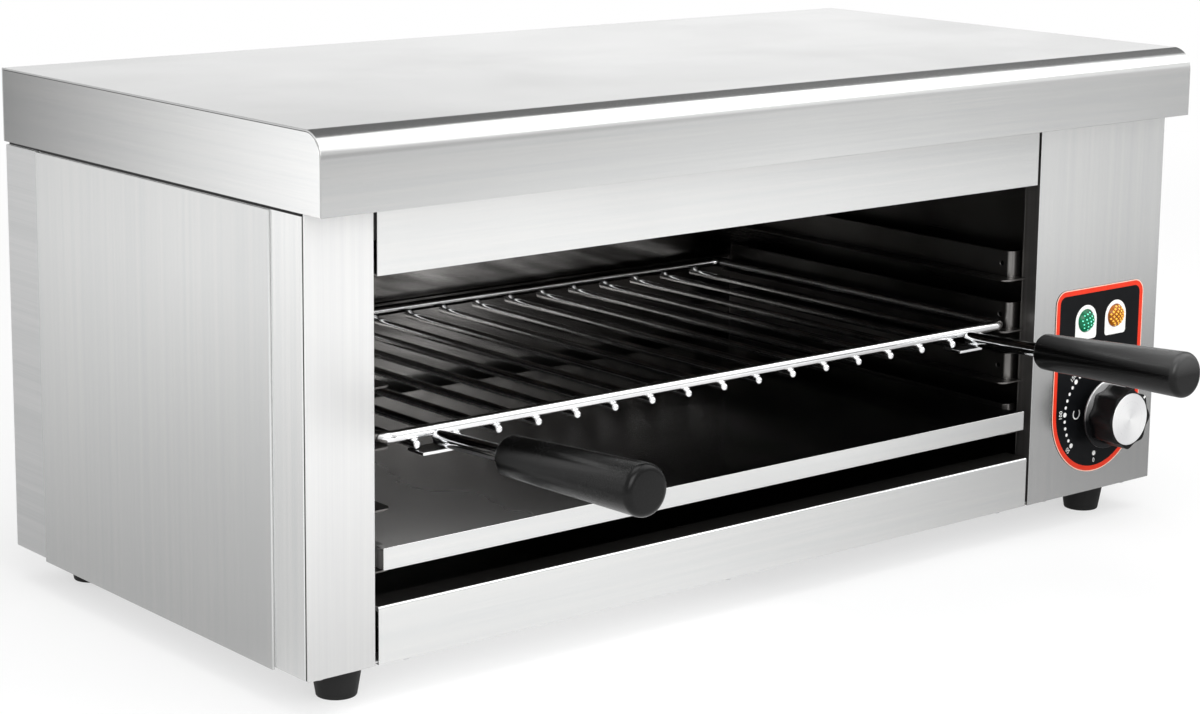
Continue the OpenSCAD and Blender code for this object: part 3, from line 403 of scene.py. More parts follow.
def brushed_steel(name, along, light="#DEDEDD", dark="#D8D9D9", rough=0.24, joints=(), shade=None, metal=0.88):
    """Stainless sheet brushed along axis 0, 1 or 2. joints are masks of near black painted shade in its gaps;
    shade is an axis, the places where a painted shade starts and ends, and the tone it ends with."""
    finish = Finish(name, Metallic=metal)
    per_metre = [GRAIN_ALONG if axis == along else GRAIN_ACROSS for axis in range(3)]
    hair = finish.mottle(per_metre, detail=3.0)
    band = finish.mottle([value * BAND_SCALE for value in per_metre])
    cloud = finish.mottle(CLOUD_PER_METRE, detail=3.0, warp=0.4)
    grain = finish.sums("MULTIPLY_ADD", hair, HAIR_SHARE, finish.sums("MULTIPLY", band, BAND_SHARE))
    colour = finish.tones(grain, dark, light, 0.35, 0.65)
    # painted shade: near black where a gap mask is full
    for axis, start, end in joints:
        colour = finish.mix(finish.spread(finish.along(axis), 0, 1, start, end), colour, tone(GAP_SHADE_TONE))
    # painted shade: the colour is multiplied darker from start to end along one axis
    if shade:
        axis, start, end, dull = shade
        colour = finish.mix(finish.spread(finish.along(axis), 0, 1, start, end), colour, tone(dull), "MULTIPLY")
    finish.lay("Base Color", colour)
    cloudy = finish.spread(cloud, -WORN_BY, WORN_BY, 0.3, 0.7)
    worn = finish.sums("MULTIPLY_ADD", grain, WORN_BY, cloudy)
    finish.lay("Roughness", finish.sums("ADD", worn, rough - 0.04))
    finish.relief(grain, BRUSH_DEPTH, BRUSH_STRENGTH)
    return finish.material


cover_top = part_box("side_cover_left")[1].z
frame_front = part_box("side_frame_left")[0].y
# painted shade: the side frames go near black above the covers and at their front edge, in the gaps
side_gap_shades = ((2, cover_top + 0.1 * MM, cover_top + 0.2 * MM),
               (1, frame_front + 1.4 * MM, frame_front + 1.3 * MM))
# painted shade: hood darker to its left end, panel, covers and post to the bottom, hood ends to the back
steel_across = brushed_steel("steel_brushed_across", 0, rough=0.19)
steel_hood = brushed_steel("steel_brushed_hood", 0, rough=0.19, shade=(0, 0.0, cad_low.x, "#DCDCDC"))
steel_panel = brushed_steel("steel_brushed_panel", 2, "#EAEAE9", "#E3E4E4", 0.255,
                            shade=(2, 0.24, 0.10, "#D6D6D6"))
# painted shade: two darker steels for faces in the opening, the rail's top and the panel's side
steel_rail_top_shade = brushed_steel("steel_rail_top_shade", 0, "#504E4C", "#444240", 0.4)
steel_opening_side_shade = brushed_steel("steel_opening_side_shade", 2, "#7E7C7A", "#6E6C6A", 0.4)
steel_upright = brushed_steel("steel_brushed_upright", 2, rough=0.255, shade=(2, 0.2, 0.03, "#EEEEEE"))
steel_post = brushed_steel("steel_brushed_post", 2, "#EAEAE9", "#E4E4E4", 0.42,
                           shade=(2, 0.16, 0.03, "#E0E0E0"), metal=0.68)
steel_deep = brushed_steel("steel_brushed_deep", 1, "#FFFFFE", "#F7F8F8", 0.26,
                           shade=(1, cad_low.y + 0.09, cad_high.y, "#8E8E8E"))
steel_side = brushed_steel("steel_brushed_side", 2, "#EEEEED", "#E6E7E7", joints=side_gap_shades)
steel_shaded = brushed_steel("steel_shaded", 0, "#2E2E2E", "#262626", 0.5)
steel_plain = brushed_steel("steel_plain", 1, "#D4D4D4", "#CACBCB", 0.34)
print("brushed steels:", sum(m.name.startswith("steel_") for m in bpy.data.materials))

# %% [markdown]
# Inside the cavity the same steel has seen heat and fat. It is tinted brown and painted darker, as shade,
# and its sheets are a little wavy, so that what they mirror runs in streaks; the back wall's tone runs in
# streaks too, a painted reflection. The tray is paler at its left end, a painted pool of light where
# light falls in.


# %% Steel that has seen heat
CLOUD_SHARE, SWELL_SHARE, TINT_ZONE = 0.35, 0.65, (0.36, 0.64)
PALE_METAL, PALE_DULLER = 0.86, 0.18
INNER_CLOUDS, INNER_HAIRS = (9, 9, 12), (16, 16, 900)


def inner_steel(name, light, dark, rough, per_metre=(9, 9, 12), turn=0.0, wave_mm=0.1, sheen=None):
    """Sheet inside the cavity: heat-tinted, its darker tones painted shade, and a little wavy, so that
    reflections run in streaks; the swell streaks the tone too, on the back wall a painted reflection.
    sheen is where along X a paler, duller stretch of painted light ends and the plain sheet starts."""
    finish = Finish(name, Metallic=1.0)
    cloud = finish.mottle(INNER_CLOUDS, detail=3.0, warp=0.2)
    hair = finish.mottle(INNER_HAIRS)
    swell = finish.mottle(per_metre, place=finish.stretched(1, turn=(0, turn, 0)))
    # the swell's share streaks the tone: on the back wall a painted reflection
    tint_and_painted_streaks = finish.sums("MULTIPLY_ADD", cloud, CLOUD_SHARE, finish.sums("MULTIPLY", swell, SWELL_SHARE))
    colour = finish.tones(tint_and_painted_streaks, dark, light, *TINT_ZONE)
    dull = finish.spread(cloud, rough - 0.05, rough + 0.03)
    # painted light: a paler, duller stretch along X
    if sheen:
        pale = finish.spread(finish.along(0), 1, 0, *sheen)
        colour = finish.mix(pale, colour, tone("#FFFEFD"))
        dull = finish.sums("MULTIPLY_ADD", pale, PALE_DULLER, dull)
        finish.lay("Metallic", finish.spread(pale, 1.0, PALE_METAL))
    finish.lay("Base Color", colour)
    finish.lay("Roughness", finish.sums("MULTIPLY_ADD", hair, 0.06, dull))
    finish.relief(finish.sums("MULTIPLY_ADD", hair, 0.02, swell), wave_mm, 0.6)
    return finish.material


STREAKS, STREAK_TURN = (10, 10, 110), math.radians(-18)
tray_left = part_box("crumb_tray")[0].x
# painted shade: the cavity's tones are darker than the casing's, darkest on the pan
cavity_steel = inner_steel("steel_cavity", "#656361", "#3E3C3B", 0.27)
# painted reflection: the back wall's tone runs in diagonal light and dark streaks
back_steel = inner_steel("steel_cavity_back", "#B2B0AE", "#5A5856", 0.18, STREAKS, STREAK_TURN, 0.25)
pan_steel = inner_steel("steel_pan", "#4A4846", "#2C2A29", 0.27)
guide_steel = inner_steel("steel_guides", "#7C7A78", "#4C4A48", 0.28)
# painted light: the tray is paler at its left end, where light falls in
tray_steel = inner_steel("steel_tray", "#9C9B9A", "#706F6E", 0.15, (10, 14, 10), 0.0, 0.12,
                         sheen=(tray_left, tray_left + 200 * MM))
print("the tray is pale from", round(tray_left / MM), "mm on")


# %% Plated and drawn metal
def bright_metal(name, light, dark, rough):
    """Plated or drawn metal with faint smudges."""
    finish = Finish(name, Metallic=1.0)
    smudge = finish.mottle(60, detail=3.0, warp=0.3)
    hair = finish.mottle(900, detail=1.0)
    finish.lay("Base Color", finish.tones(smudge, dark, light))
    finish.lay("Roughness", finish.spread(smudge, rough * 0.8, rough * 1.3, 0.3, 0.7))
    finish.relief(hair, 0.01, 0.2)
    return finish.material


chrome = bright_metal("chrome_plate", "#EDEEEF", "#D6D8DA", 0.09)
rack_wire = bright_metal("rack_wire_bright", "#F6F6F6", "#E6E7E8", 0.15)
zinc = bright_metal("zinc_plate", "#C9CBCC", "#A5A7A8", 0.28)
brass = bright_metal("brass", "#C9A45C", "#9C7A3C", 0.30)
copper = bright_metal("copper", "#C07850", "#8E5236", 0.32)
print("finishes so far:", len(bpy.data.materials))

# %% [markdown]
# ## Plastics, rubber and the rest
# Moulded parts have a fine even texture, and the right grip has a greyer top, a painted highlight.
# Ceramic and wool are rough and pale. The heater's sheath is oxidised almost black with a brown bloom.


# %% Moulded, fired and woven finishes
def moulded(name, light, dark, rough, grain=1500, depth=0.02, gloss=0.5, top_highlight=None):
    """Plastic or rubber with a fine mould texture. Its last argument gives where a greyer top,
    a painted highlight, starts and is full.
    """
    finish = Finish(name, Specular_IOR_Level=gloss)
    cloud = finish.mottle(40)
    pores = finish.mottle(grain)
    colour = finish.tones(cloud, dark, light)
    if top_highlight:
        # painted highlight: the top goes greyer
        colour = finish.mix(finish.spread(finish.along(2), 0, 1, *top_highlight), colour, tone("#505050"))
    finish.lay("Base Color", colour)
    finish.lay("Roughness", finish.sums("MULTIPLY_ADD", pores, 0.10, finish.spread(cloud, rough - 0.08, rough)))
    finish.relief(pores, depth, 0.5)
    return finish.material


def oxidised_sheath():
    """Heater sheath: dark oxide with brown and grey patches."""
    finish = Finish("heater_sheath", Metallic=0.6)
    patch = finish.mottle((60, 90, 90), detail=4.0, warp=0.6)
    finish.lay("Base Color", finish.tones(patch, "#2A2624", "#5A4A40", 0.35, 0.65))
    finish.lay("Roughness", finish.spread(patch, 0.42, 0.62))
    finish.relief(finish.mottle(1200), 0.02, 0.5)
    return finish.material


def mineral_wool():
    """Yellowish insulating blanket with matted fibres."""
    finish = Finish("mineral_wool", Roughness=0.95)
    fibre = finish.mottle((300, 500, 300), detail=6.0, warp=1.6)
    finish.lay("Base Color", finish.mix(fibre, tone("#A89A72"), tone("#E0D8BC")))
    finish.relief(fibre, 0.6, 0.8)
    return finish.material


grip_low, grip_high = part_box("grip_left")
SMOOTH_GRIP = {"grain": 1800, "depth": 0.002, "gloss": 0.22}
grip_plastic = moulded("grip_phenolic", "#080808", "#050505", 0.25, **SMOOTH_GRIP)
# painted highlight: the right grip's top is greyer
grip_top_highlight = moulded("grip_phenolic_top_highlight", "#080808", "#050505", 0.22, **SMOOTH_GRIP,
                      top_highlight=((grip_low.z + grip_high.z) / 2 + 1 * MM, grip_high.z))
knob_plastic = moulded("knob_phenolic", "#070708", "#040405", 0.34, grain=1600, depth=0.003, gloss=0.2)
black_plastic = moulded("gland_nylon", "#202021", "#161617", 0.45)
white_plastic = moulded("lamp_nylon", "#E6E4DE", "#D8D5CC", 0.4)
foot_rubber = moulded("foot_rubber", "#1A1A1A", "#121212", 0.62, grain=900, depth=0.04, gloss=0.3)
ceramic = moulded("fired_ceramic", "#E8E2D4", "#D2CAB8", 0.5, grain=700, depth=0.03)
lead_cover = moulded("lead_sleeve", "#B5463A", "#93362C", 0.5, grain=700, depth=0.03)
sheath = oxidised_sheath()
wool = mineral_wool()
print("finishes so far:", len(bpy.data.materials))

# %% [markdown]
# ## From a solid to a folded sheet
# The solids arrive as loose triangles with knife edges. Real sheet has small rounded edges that catch
# the light, so each sheet is copied, its triangles are welded and its flat faces made whole, and a
# Bevel modifier rounds every edge sharper than a given angle. Weighted normals then keep the big
# faces flat beside the rounded ones. The finished copy stands for its solid.

# %% Helpers for pieces
SHARP = math.radians(32)
ALMOST_FLAT = math.radians(0.4)
JOIN_WITHIN = 0.001 * MM


def joined_triangles(node):
    """A copy of a solid's mesh with its loose triangles joined."""
    form = bmesh.new()
    form.from_mesh(frame["nodes"][node].data)
    bmesh.ops.remove_doubles(form, verts=form.verts, dist=JOIN_WITHIN)
    return form


def welded(node):
    """A copy of a solid's mesh with its flat faces whole."""
    form = joined_triangles(node)
    bmesh.ops.dissolve_limit(form, angle_limit=ALMOST_FLAT, verts=form.verts, edges=form.edges)
    return form


def settle(name, form, material, smooth_to=SHARP):
    """Turns a form into an object: smooth where faces meet gently, sharp elsewhere."""
    form.normal_update()
    for face in form.faces:
        face.smooth = True
    for edge in form.edges:
        edge.smooth = len(edge.link_faces) == 2 and edge.calc_face_angle(0) < smooth_to
    mesh = bpy.data.meshes.new(name)
    form.to_mesh(mesh)
    form.free()
    mesh.materials.append(material)
    return in_scene(name, mesh)


def fit(piece, body, slot, *stands_for):
    """Hangs a finished piece on its body and lets it stand for its solids."""
    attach(piece, body)
    if stands_for:
        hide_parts(*stands_for)
    return piece


def round_edges(piece, width_mm, segments=2):
    """Rounds the sharp edges of a piece and keeps its flat faces flat."""
    for edge in piece.data.edges:
        edge.use_edge_sharp = False
    bevel = piece.modifiers.new("rounded_edges", "BEVEL")
    bevel.width = width_mm * MM
    bevel.segments = segments
    bevel.limit_method = "ANGLE"
    bevel.angle_limit = SHARP
    bevel.use_clamp_overlap = False
    flat = piece.modifiers.new("flat_faces", "WEIGHTED_NORMAL")
    flat.keep_sharp = True


def finished_copy(name, node, material, slot, edge_mm=0.0, segments=2):
    """A welded copy of a solid with rounded edges, on the solid's body and standing for it."""
    piece = settle(name, welded(node), material)
    if edge_mm:
        round_edges(piece, edge_mm, segments)
    return fit(piece, frame["nodes"][node]["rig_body"], slot, node)


print("edges sharper than", round(math.degrees(SHARP)), "degrees are rounded")

# %% Fold the casing's sheets
CASING_SHEETS = {
    # node: (finish, rounded edge in mm)
    "hood_sheet": (steel_hood, 0.3), "hood_end_left": (steel_deep, 0.25),
    "hood_end_right": (steel_deep, 0.25), "front_post": (steel_post, 0.3),
    "fascia": (steel_across, 0.3), "bottom_rail": (steel_across, 0.3),
    "control_panel": (steel_panel, 0.3), "front_crossbar": (steel_shaded, 0.25),
    "side_frame_left": (steel_side, 0.3), "side_frame_right": (steel_side, 0.3),
    "side_cover_left": (steel_upright, 0.3), "side_cover_right": (steel_upright, 0.3),
    "back_panel": (steel_plain, 0.25), "base_plate": (steel_plain, 0.25),
}
SHADED_OPENING_FACES = {
    # faces of the opening given painted shade, a darker steel, as node: (way they look, finish)
    "control_panel": (Vector((-1, 0, 0)), steel_opening_side_shade),
    "bottom_rail": (Vector((0, 0, 1)), steel_rail_top_shade),
}
for node, (steel, edge) in CASING_SHEETS.items():
    finished_copy("folded_" + node, node, steel, "stainless", edge)
# faces that look the given way get the darker steel as painted shade
for node, (way, shade_steel) in SHADED_OPENING_FACES.items():
    sheet = bpy.data.objects["folded_" + node].data
    sheet.materials.append(shade_steel)
    for face in sheet.polygons:
        face.material_index = int(face.normal.dot(way) > 0.9)
print("casing sheets folded:", len(CASING_SHEETS), "of them stained:", len(SHADED_OPENING_FACES))

# %% [markdown]
# ## The cavity
# Inside, the sheets are the same gauge but have seen heat: they are a little brown and wavy, and painted darker
# as shade.
# The walls, the back with its bead, the ceiling and the guides are copied the same way, so that the
# opening shows true depth: four ledges a side, and the two heater loops under the ceiling.

# %% Line the cavity
CAVITY_SHEETS = {
    "cavity_wall_left": (cavity_steel, 0.25), "cavity_wall_right": (cavity_steel, 0.25),
    "cavity_back": (back_steel, 0.25), "cavity_ceiling": (cavity_steel, 0.25),
    "floor_pan": (pan_steel, 0.25), "guides_left": (guide_steel, 0.2), "guides_right": (guide_steel, 0.2),
}
for node, (steel, edge) in CAVITY_SHEETS.items():
    finished_copy("lining_" + node, node, steel, "stainless_inside", edge)
print("cavity sheets:", len(CAVITY_SHEETS))

# %% Hang the heaters
HEATER_PARTS = {
    "element_front": (sheath, "element_sheath"), "element_rear": (sheath, "element_sheath"),
    "element_hangers": (guide_steel, "stainless_inside"), "element_nuts": (brass, "brass"),
    "element_terminals": (ceramic, "ceramic"),
}
for node, (material, slot) in HEATER_PARTS.items():
    finished_copy("fitted_" + node, node, material, slot)
print("heater parts:", len(HEATER_PARTS))

# %% [markdown]
# ## The insulating blanket
# A mineral wool blanket lies on the cavity's ceiling, out of sight under the hood. It is soft, so a
# plain block won't do: a grid is crowned over its solid's space, its rim is drawn in, and a noise
# roughens the top as pulled fibres would.

# %% Lay the blanket
BLANKET_GRID = (40, 24)
BLANKET_RIM = 9 * MM
BLANKET_CROWN, BLANKET_PLAY, TUFT = 0.96, 0.7 * MM, 0.6 * MM


def blanket_form(low, high):
    """A crowned slab with soft edges inside a box."""
    form = bmesh.new()
    across, deep = BLANKET_GRID
    middle = (low + high) / 2
    half = (high - low) / 2
    rows = {}
    for side, level in ((1, high.z), (-1, low.z)):
        for j in range(deep + 1):
            for i in range(across + 1):
                u, v = 2 * i / across - 1, 2 * j / deep - 1
                inset = min((1 - abs(u)) * half.x, (1 - abs(v)) * half.y, BLANKET_RIM) / BLANKET_RIM
                fall = (1 - math.sqrt(1 - (1 - inset) ** 2)) * half.z * BLANKET_CROWN
                tuft = TUFT * math.sin(9.1 * u + 5.3 * v) * math.cos(13.7 * v - 4.1 * u) if side > 0 else 0
                height = level - side * (fall + BLANKET_PLAY) + tuft
                rows[side, i, j] = form.verts.new((middle.x + u * half.x, middle.y + v * half.y, height))
    for side in (1, -1):
        for j in range(deep):
            for i in range(across):
                ring = [rows[side, a, b] for a, b in ((i, j), (i + 1, j), (i + 1, j + 1), (i, j + 1))]
                form.faces.new(ring if side > 0 else ring[::-1])
    border = [(i, 0) for i in range(across)] + [(across, j) for j in range(deep)]
    border += [(i, deep) for i in range(across, 0, -1)] + [(0, j) for j in range(deep, 0, -1)]
    for (a, b), (c, d) in zip(border, border[1:] + border[:1]):
        form.faces.new((rows[1, a, b], rows[-1, a, b], rows[-1, c, d], rows[1, c, d]))
    bmesh.ops.recalc_face_normals(form, faces=form.faces)
    return form


blanket_low, blanket_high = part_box("insulation")
blanket = settle("insulating_blanket", blanket_form(blanket_low, blanket_high), wool, math.radians(80))
fit(blanket, "casing", "insulation", "insulation")
print("blanket thickness", round((blanket_high.z - blanket_low.z) / MM, 1), "mm")

# %% [markdown]
# ## The rack's wires
# Seventeen straight wires lie under the rack's rim, each with rounded ends. One rule makes them all,
# so they are a Geometry Nodes tree: a ball is pulled apart at its middle into a rod with round ends,
# laid down, and copied along a line. The pitch, the reach and the thickness are measured on the solid.


# %% Helpers for geometry trees
def start_tree(name, sockets):
    """A new geometry tree with named inputs, and its two end nodes."""
    tree = bpy.data.node_groups.new(name, "GeometryNodeTree")
    tree.is_modifier = True
    for label, kind in sockets.items():
        tree.interface.new_socket(label, in_out="INPUT", socket_type="NodeSocket" + kind)
    tree.interface.new_socket("Geometry", in_out="OUTPUT", socket_type="NodeSocketGeometry")
    return tree, tree.nodes.new("NodeGroupInput").outputs, tree.nodes.new("NodeGroupOutput").inputs[0]


def close_tree(tree, geometry, material, end, smooth=True):
    """The last steps of every tree: real meshes, smooth shading and the finish."""
    real = result(tree, "GeometryNodeRealizeInstances", {0: geometry})
    if smooth:
        real = result(tree, "GeometryNodeSetShadeSmooth", {0: real})
    tree.links.new(result(tree, "GeometryNodeSetMaterial", {0: real, "Material": material}), end)


def copies(tree, points, instance, **more):
    """A copy of a form on every point."""
    return result(tree, "GeometryNodeInstanceOnPoints", {"Points": points, "Instance": instance, **more})


QUARTER_TURN = (math.radians(90), 0, 0)


def made_by(holder):
    """The mesh that an object's modifiers or its text make."""
    depsgraph = bpy.context.evaluated_depsgraph_get()
    return bpy.data.meshes.new_from_object(holder.evaluated_get(depsgraph))


def grown(name, tree, values, start=None):
    """Runs a tree once and keeps what it made as a plain object."""
    seed = in_scene(name + "_seed", start or bpy.data.meshes.new(name + "_seed"))
    modifier = seed.modifiers.new("grow", "NODES")
    modifier.node_group = tree
    for item in tree.interface.items_tree:
        if item.in_out == "INPUT" and item.name in values:
            modifier[item.identifier] = values[item.name]
    seed.update_tag()
    mesh = made_by(seed)
    bpy.data.objects.remove(seed)
    return in_scene(name, mesh)


def solids_in(node):
    """The lowest and highest corner of each separate solid of a node."""
    form = joined_triangles(node)
    form.verts.ensure_lookup_table()
    seen, boxes = set(), []
    for first in form.verts:
        if first.index in seen:
            continue
        seen.add(first.index)
        queue, places = [first], []
        while queue:
            vert = queue.pop()
            places.append(vert.co.copy())
            for edge in vert.link_edges:
                other = edge.other_vert(vert)
                if other.index not in seen:
                    seen.add(other.index)
                    queue.append(other)
        low = Vector([min(p[axis] for p in places) for axis in range(3)])
        high = Vector([max(p[axis] for p in places) for axis in range(3)])
        boxes.append((low, high))
    form.free()
    return boxes


print("separate wires in the rack's solid:", len(solids_in("rack_wires")))

# %% Grow the wires
def wire_tree():
    """Rods with round ends, side by side along X."""
    tree, given, end = start_tree("rack_wires", {
        "Wires": "Int", "First wire": "Vector", "Pitch": "Float", "Thickness": "Float", "Reach": "Float",
        "Finish": "Material"})
    radius = step(tree, "DIVIDE", given["Thickness"], 2.0)
    pull = step(tree, "DIVIDE", step(tree, "SUBTRACT", given["Reach"], given["Thickness"]), 2.0)
    ball = result(tree, "GeometryNodeMeshUVSphere", {"Segments": 20, "Rings": 13, "Radius": radius})
    height = split(tree, result(tree, "GeometryNodeInputPosition"))[2]
    shift = step(tree, "MULTIPLY", step(tree, "SIGN", height), pull)
    rod = result(tree, "GeometryNodeSetPosition", {0: ball, "Offset": joined(tree, z=shift)})
    laid = result(tree, "GeometryNodeTransform", {0: rod, "Rotation": QUARTER_TURN})
    row = result(tree, "GeometryNodeMeshLine", {
        "Count": given["Wires"], "Start Location": given["First wire"], "Offset": joined(tree, given["Pitch"])})
    wires = copies(tree, row, laid)
    close_tree(tree, wires, given["Finish"], end)
    return tree


wire_boxes = sorted(solids_in("rack_wires"), key=lambda box: box[0].x)
wire_middles = [(low + high) / 2 for low, high in wire_boxes]
wire_low, wire_high = wire_boxes[0]
wire_pitch = (wire_middles[-1].x - wire_middles[0].x) / (len(wire_boxes) - 1)
wires = grown("rack_wires_drawn", wire_tree(), {
    "Wires": len(wire_boxes), "First wire": wire_middles[0], "Pitch": wire_pitch,
    "Thickness": wire_high.z - wire_low.z, "Reach": wire_high.y - wire_low.y, "Finish": rack_wire})
fit(wires, "rack", "chrome", "rack_wires")
print("wires:", len(wire_boxes), "pitch", round(wire_pitch / MM, 2), "mm, polygons", len(wires.data.polygons))

# %% [markdown]
# ## The rack's frame and handles
# The rim is one rod bent round four corners, with a tab under its front for each handle. The rods run
# forward into tapered black grips. Where a wire crosses the rim it was spot welded, which leaves a
# small flattened bead: one more tree puts a bead at both ends of every wire.

# %% Frame, tabs, rods and grips
RACK_PARTS = {
    "rack_frame": (rack_wire, "chrome", 0.0), "rack_brackets": (rack_wire, "chrome", 0.2),
    "handle_rod_left": (chrome, "chrome", 0.3), "handle_rod_right": (chrome, "chrome", 0.3),
    "grip_left": (grip_plastic, "phenolic", 0.0), "grip_right": (grip_top_highlight, "phenolic", 0.0),
}
for node, (material, slot, edge) in RACK_PARTS.items():
    finished_copy("made_" + node, node, material, slot, edge)
print("rack parts:", len(RACK_PARTS))


# %% Weld beads
BEAD_WIDTH, BEAD_FORM = 5.2 * MM, (1.0, 0.8, 0.42)


def bead_tree():
    """A flattened ball at every point."""
    tree, given, end = start_tree("weld_beads", {
        "Geometry": "Geometry", "Width": "Float", "Finish": "Material"})
    radius = step(tree, "DIVIDE", given["Width"], 2.0)
    ball = result(tree, "GeometryNodeMeshIcoSphere", {"Radius": radius, "Subdivisions": 2})
    flat = result(tree, "GeometryNodeTransform", {0: ball, "Scale": BEAD_FORM})
    beads = copies(tree, given["Geometry"], flat)
    close_tree(tree, beads, given["Finish"], end)
    return tree


def points_mesh(name, places):
    """A mesh of loose points."""
    mesh = bpy.data.meshes.new(name)
    mesh.from_pydata([tuple(p) for p in places], [], [])
    return mesh


rim_low, rim_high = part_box("rack_frame")
rim_radius = (rim_high.z - rim_low.z) / 2
crossing_z = (rim_low.z + wire_high.z) / 2
crossings = [Vector((middle.x, y, crossing_z)) for middle in wire_middles
             for y in (rim_low.y + rim_radius, rim_high.y - rim_radius)]
beads = grown("rack_weld_beads", bead_tree(), {"Width": BEAD_WIDTH, "Finish": rack_wire},
              points_mesh("beads", crossings))
fit(beads, "rack", "chrome")
print("weld beads:", len(crossings))

# %% [markdown]
# ## The crumb tray
# A shallow sheet tray with a turned-up lip. Its inside has the cavity's dark, shiny steel with its painted
# shade, and the faces at its front lip get a second material, the casing's brighter steel.

# %% Press the tray
LIP_DEPTH = 2.5 * MM
tray = finished_copy("pressed_crumb_tray", "crumb_tray", tray_steel, "stainless_inside", 0.3)
# the lip gets the casing's brighter steel; the rest keeps the cavity's, whose darker tones are painted shade
tray.data.materials.append(steel_across)
lip_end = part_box("crumb_tray")[0].y + LIP_DEPTH
lip_faces = [face for face in tray.data.polygons if face.center.y < lip_end]
for face in lip_faces:
    face.material_index = 1
print("faces on the tray's bright lip:", len(lip_faces))

# %% [markdown]
# ## Turned parts
# The knob, its hub and the screws are round, so one helper turns a profile about an axis: rings of
# points joined by faces, with a single point at each pole. A profile is a list of radius and height in
# millimetres. A second helper cuts forms out of a form, for the recess in a screw's head.


# %% Helpers for turned parts
def turned(profile, steps, waist=None):
    """A closed form turned about Z. waist(angle, radius) may draw a ring in."""
    form = bmesh.new()
    rings = []
    for radius, height in profile:
        if radius == 0:
            rings.append([form.verts.new((0, 0, height * MM))])
            continue
        ring = []
        for k in range(steps):
            angle = 2 * math.pi * k / steps
            r = MM * (waist(angle, radius) if waist else radius)
            ring.append(form.verts.new((r * math.cos(angle), r * math.sin(angle), height * MM)))
        rings.append(ring)
    for lower, upper in zip(rings, rings[1:]):
        for k in range(steps):
            n = (k + 1) % steps
            corners = [ring[i % len(ring)] for ring, i in ((lower, k), (lower, n), (upper, n), (upper, k))]
            form.faces.new(list(dict.fromkeys(corners)))
    bmesh.ops.recalc_face_normals(form, faces=form.faces)
    return form


def carved(form, cutters):
    """A form with other forms cut out of it."""
    bodies = []
    for part in [form] + cutters:
        mesh = bpy.data.meshes.new("carving")
        part.to_mesh(mesh)
        part.free()
        bodies.append(in_scene("carving", mesh))
    for cutter in bodies[1:]:
        cut = bodies[0].modifiers.new("cut", "BOOLEAN")
        cut.operation = "DIFFERENCE"
        cut.solver = "EXACT"
        cut.object = cutter
    left_over = bmesh.new()
    left_over.from_mesh(made_by(bodies[0]))
    for body in bodies:
        bpy.data.objects.remove(body)
    bmesh.ops.remove_doubles(left_over, verts=left_over.verts, dist=JOIN_WITHIN)
    return left_over


print("turning and cutting are ready")

# %% [markdown]
# ## Screws
# The sheets are held by pan-head screws with a cross recess: six under the front, six in the back and
# four in the hood's rear skirt, and one more kind holds the feet. The head is turned once and the
# recess is cut once, and a tree puts the screw on a point for each, its head facing outwards and its
# cross turned at random, as a hand-driven screw ends up.


# %% Helpers for screws
def cross_arms(reach, width, depth, top):
    """The two tapering bars of a cross, point down."""
    arms = []
    for turn in (0, math.pi / 2):
        arm = bmesh.new()
        for vert in bmesh.ops.create_cube(arm, size=1.0)["verts"]:
            taper = 1.0 if vert.co.z > 0 else 0.45
            x, y = vert.co.x * reach * taper, vert.co.y * width * (0.7 + 0.3 * taper)
            z = top + 0.3 if vert.co.z > 0 else top - depth
            over, up = x * math.cos(turn) - y * math.sin(turn), x * math.sin(turn) + y * math.cos(turn)
            vert.co = Vector((over, up, z)) * MM
        arms.append(arm)
    return arms


def cross_screw(name, head_radius, head_height, shank_radius, shank_length):
    """A pan-head screw with its seat at the origin and its head up."""
    r, h = head_radius, head_height
    profile = [(0, -shank_length), (shank_radius * 0.7, -shank_length), (shank_radius, -shank_length + 0.6),
               (shank_radius, 0), (r * 0.98, 0), (r, h * 0.12), (r, h * 0.42), (r * 0.94, h * 0.66),
               (r * 0.8, h * 0.85), (r * 0.55, h * 0.96), (0, h)]
    return settle(name, carved(turned(profile, 28), cross_arms(r * 1.15, r * 0.24, h * 0.62, h)), zinc)


def screw_tree():
    """A screw on every point, turned to the point's facing and spun at random."""
    tree, given, end = start_tree("screws", {
        "Geometry": "Geometry", "Screw": "Object", "Seed": "Int", "Finish": "Material"})
    shape = add_node(tree, "GeometryNodeObjectInfo", {"Object": given["Screw"]}).outputs["Geometry"]
    facing = result(tree, "GeometryNodeInputNamedAttribute", {"Name": "facing"}, data_type="FLOAT_VECTOR")
    upright = result(tree, "FunctionNodeAlignRotationToVector", {"Vector": facing}, axis="Z")
    spin = add_node(tree, "FunctionNodeRandomValue", {2: 0.0, 3: math.pi, "Seed": given["Seed"]}).outputs[1]
    own = result(tree, "FunctionNodeAxisAngleToRotation", {"Axis": (0, 0, 1), "Angle": spin})
    turn = result(tree, "FunctionNodeRotateRotation", {0: upright, 1: own}, rotation_space="LOCAL")
    screws = copies(tree, given["Geometry"], shape, Rotation=turn)
    close_tree(tree, screws, given["Finish"], end, smooth=False)
    return tree


def facing_points(name, places, facings):
    """Loose points that each carry the way they face."""
    mesh = points_mesh(name, places)
    mark = mesh.attributes.new("facing", "FLOAT_VECTOR", "POINT")
    for i, way in enumerate(facings):
        mark.data[i].vector = way
    return mesh


def seat_of(low, high, head_height):
    """Where a casing screw's head sits and which way it faces: down under the front, else to the rear."""
    middle = (low + high) / 2
    if middle.y < 0:
        return Vector((middle.x, middle.y, low.z + head_height)), Vector((0, 0, -1))
    return Vector((middle.x, high.y - head_height, middle.z)), Vector((0, 1, 0))


print("screw solids in the sheets:", len(solids_in("casing_screws")))

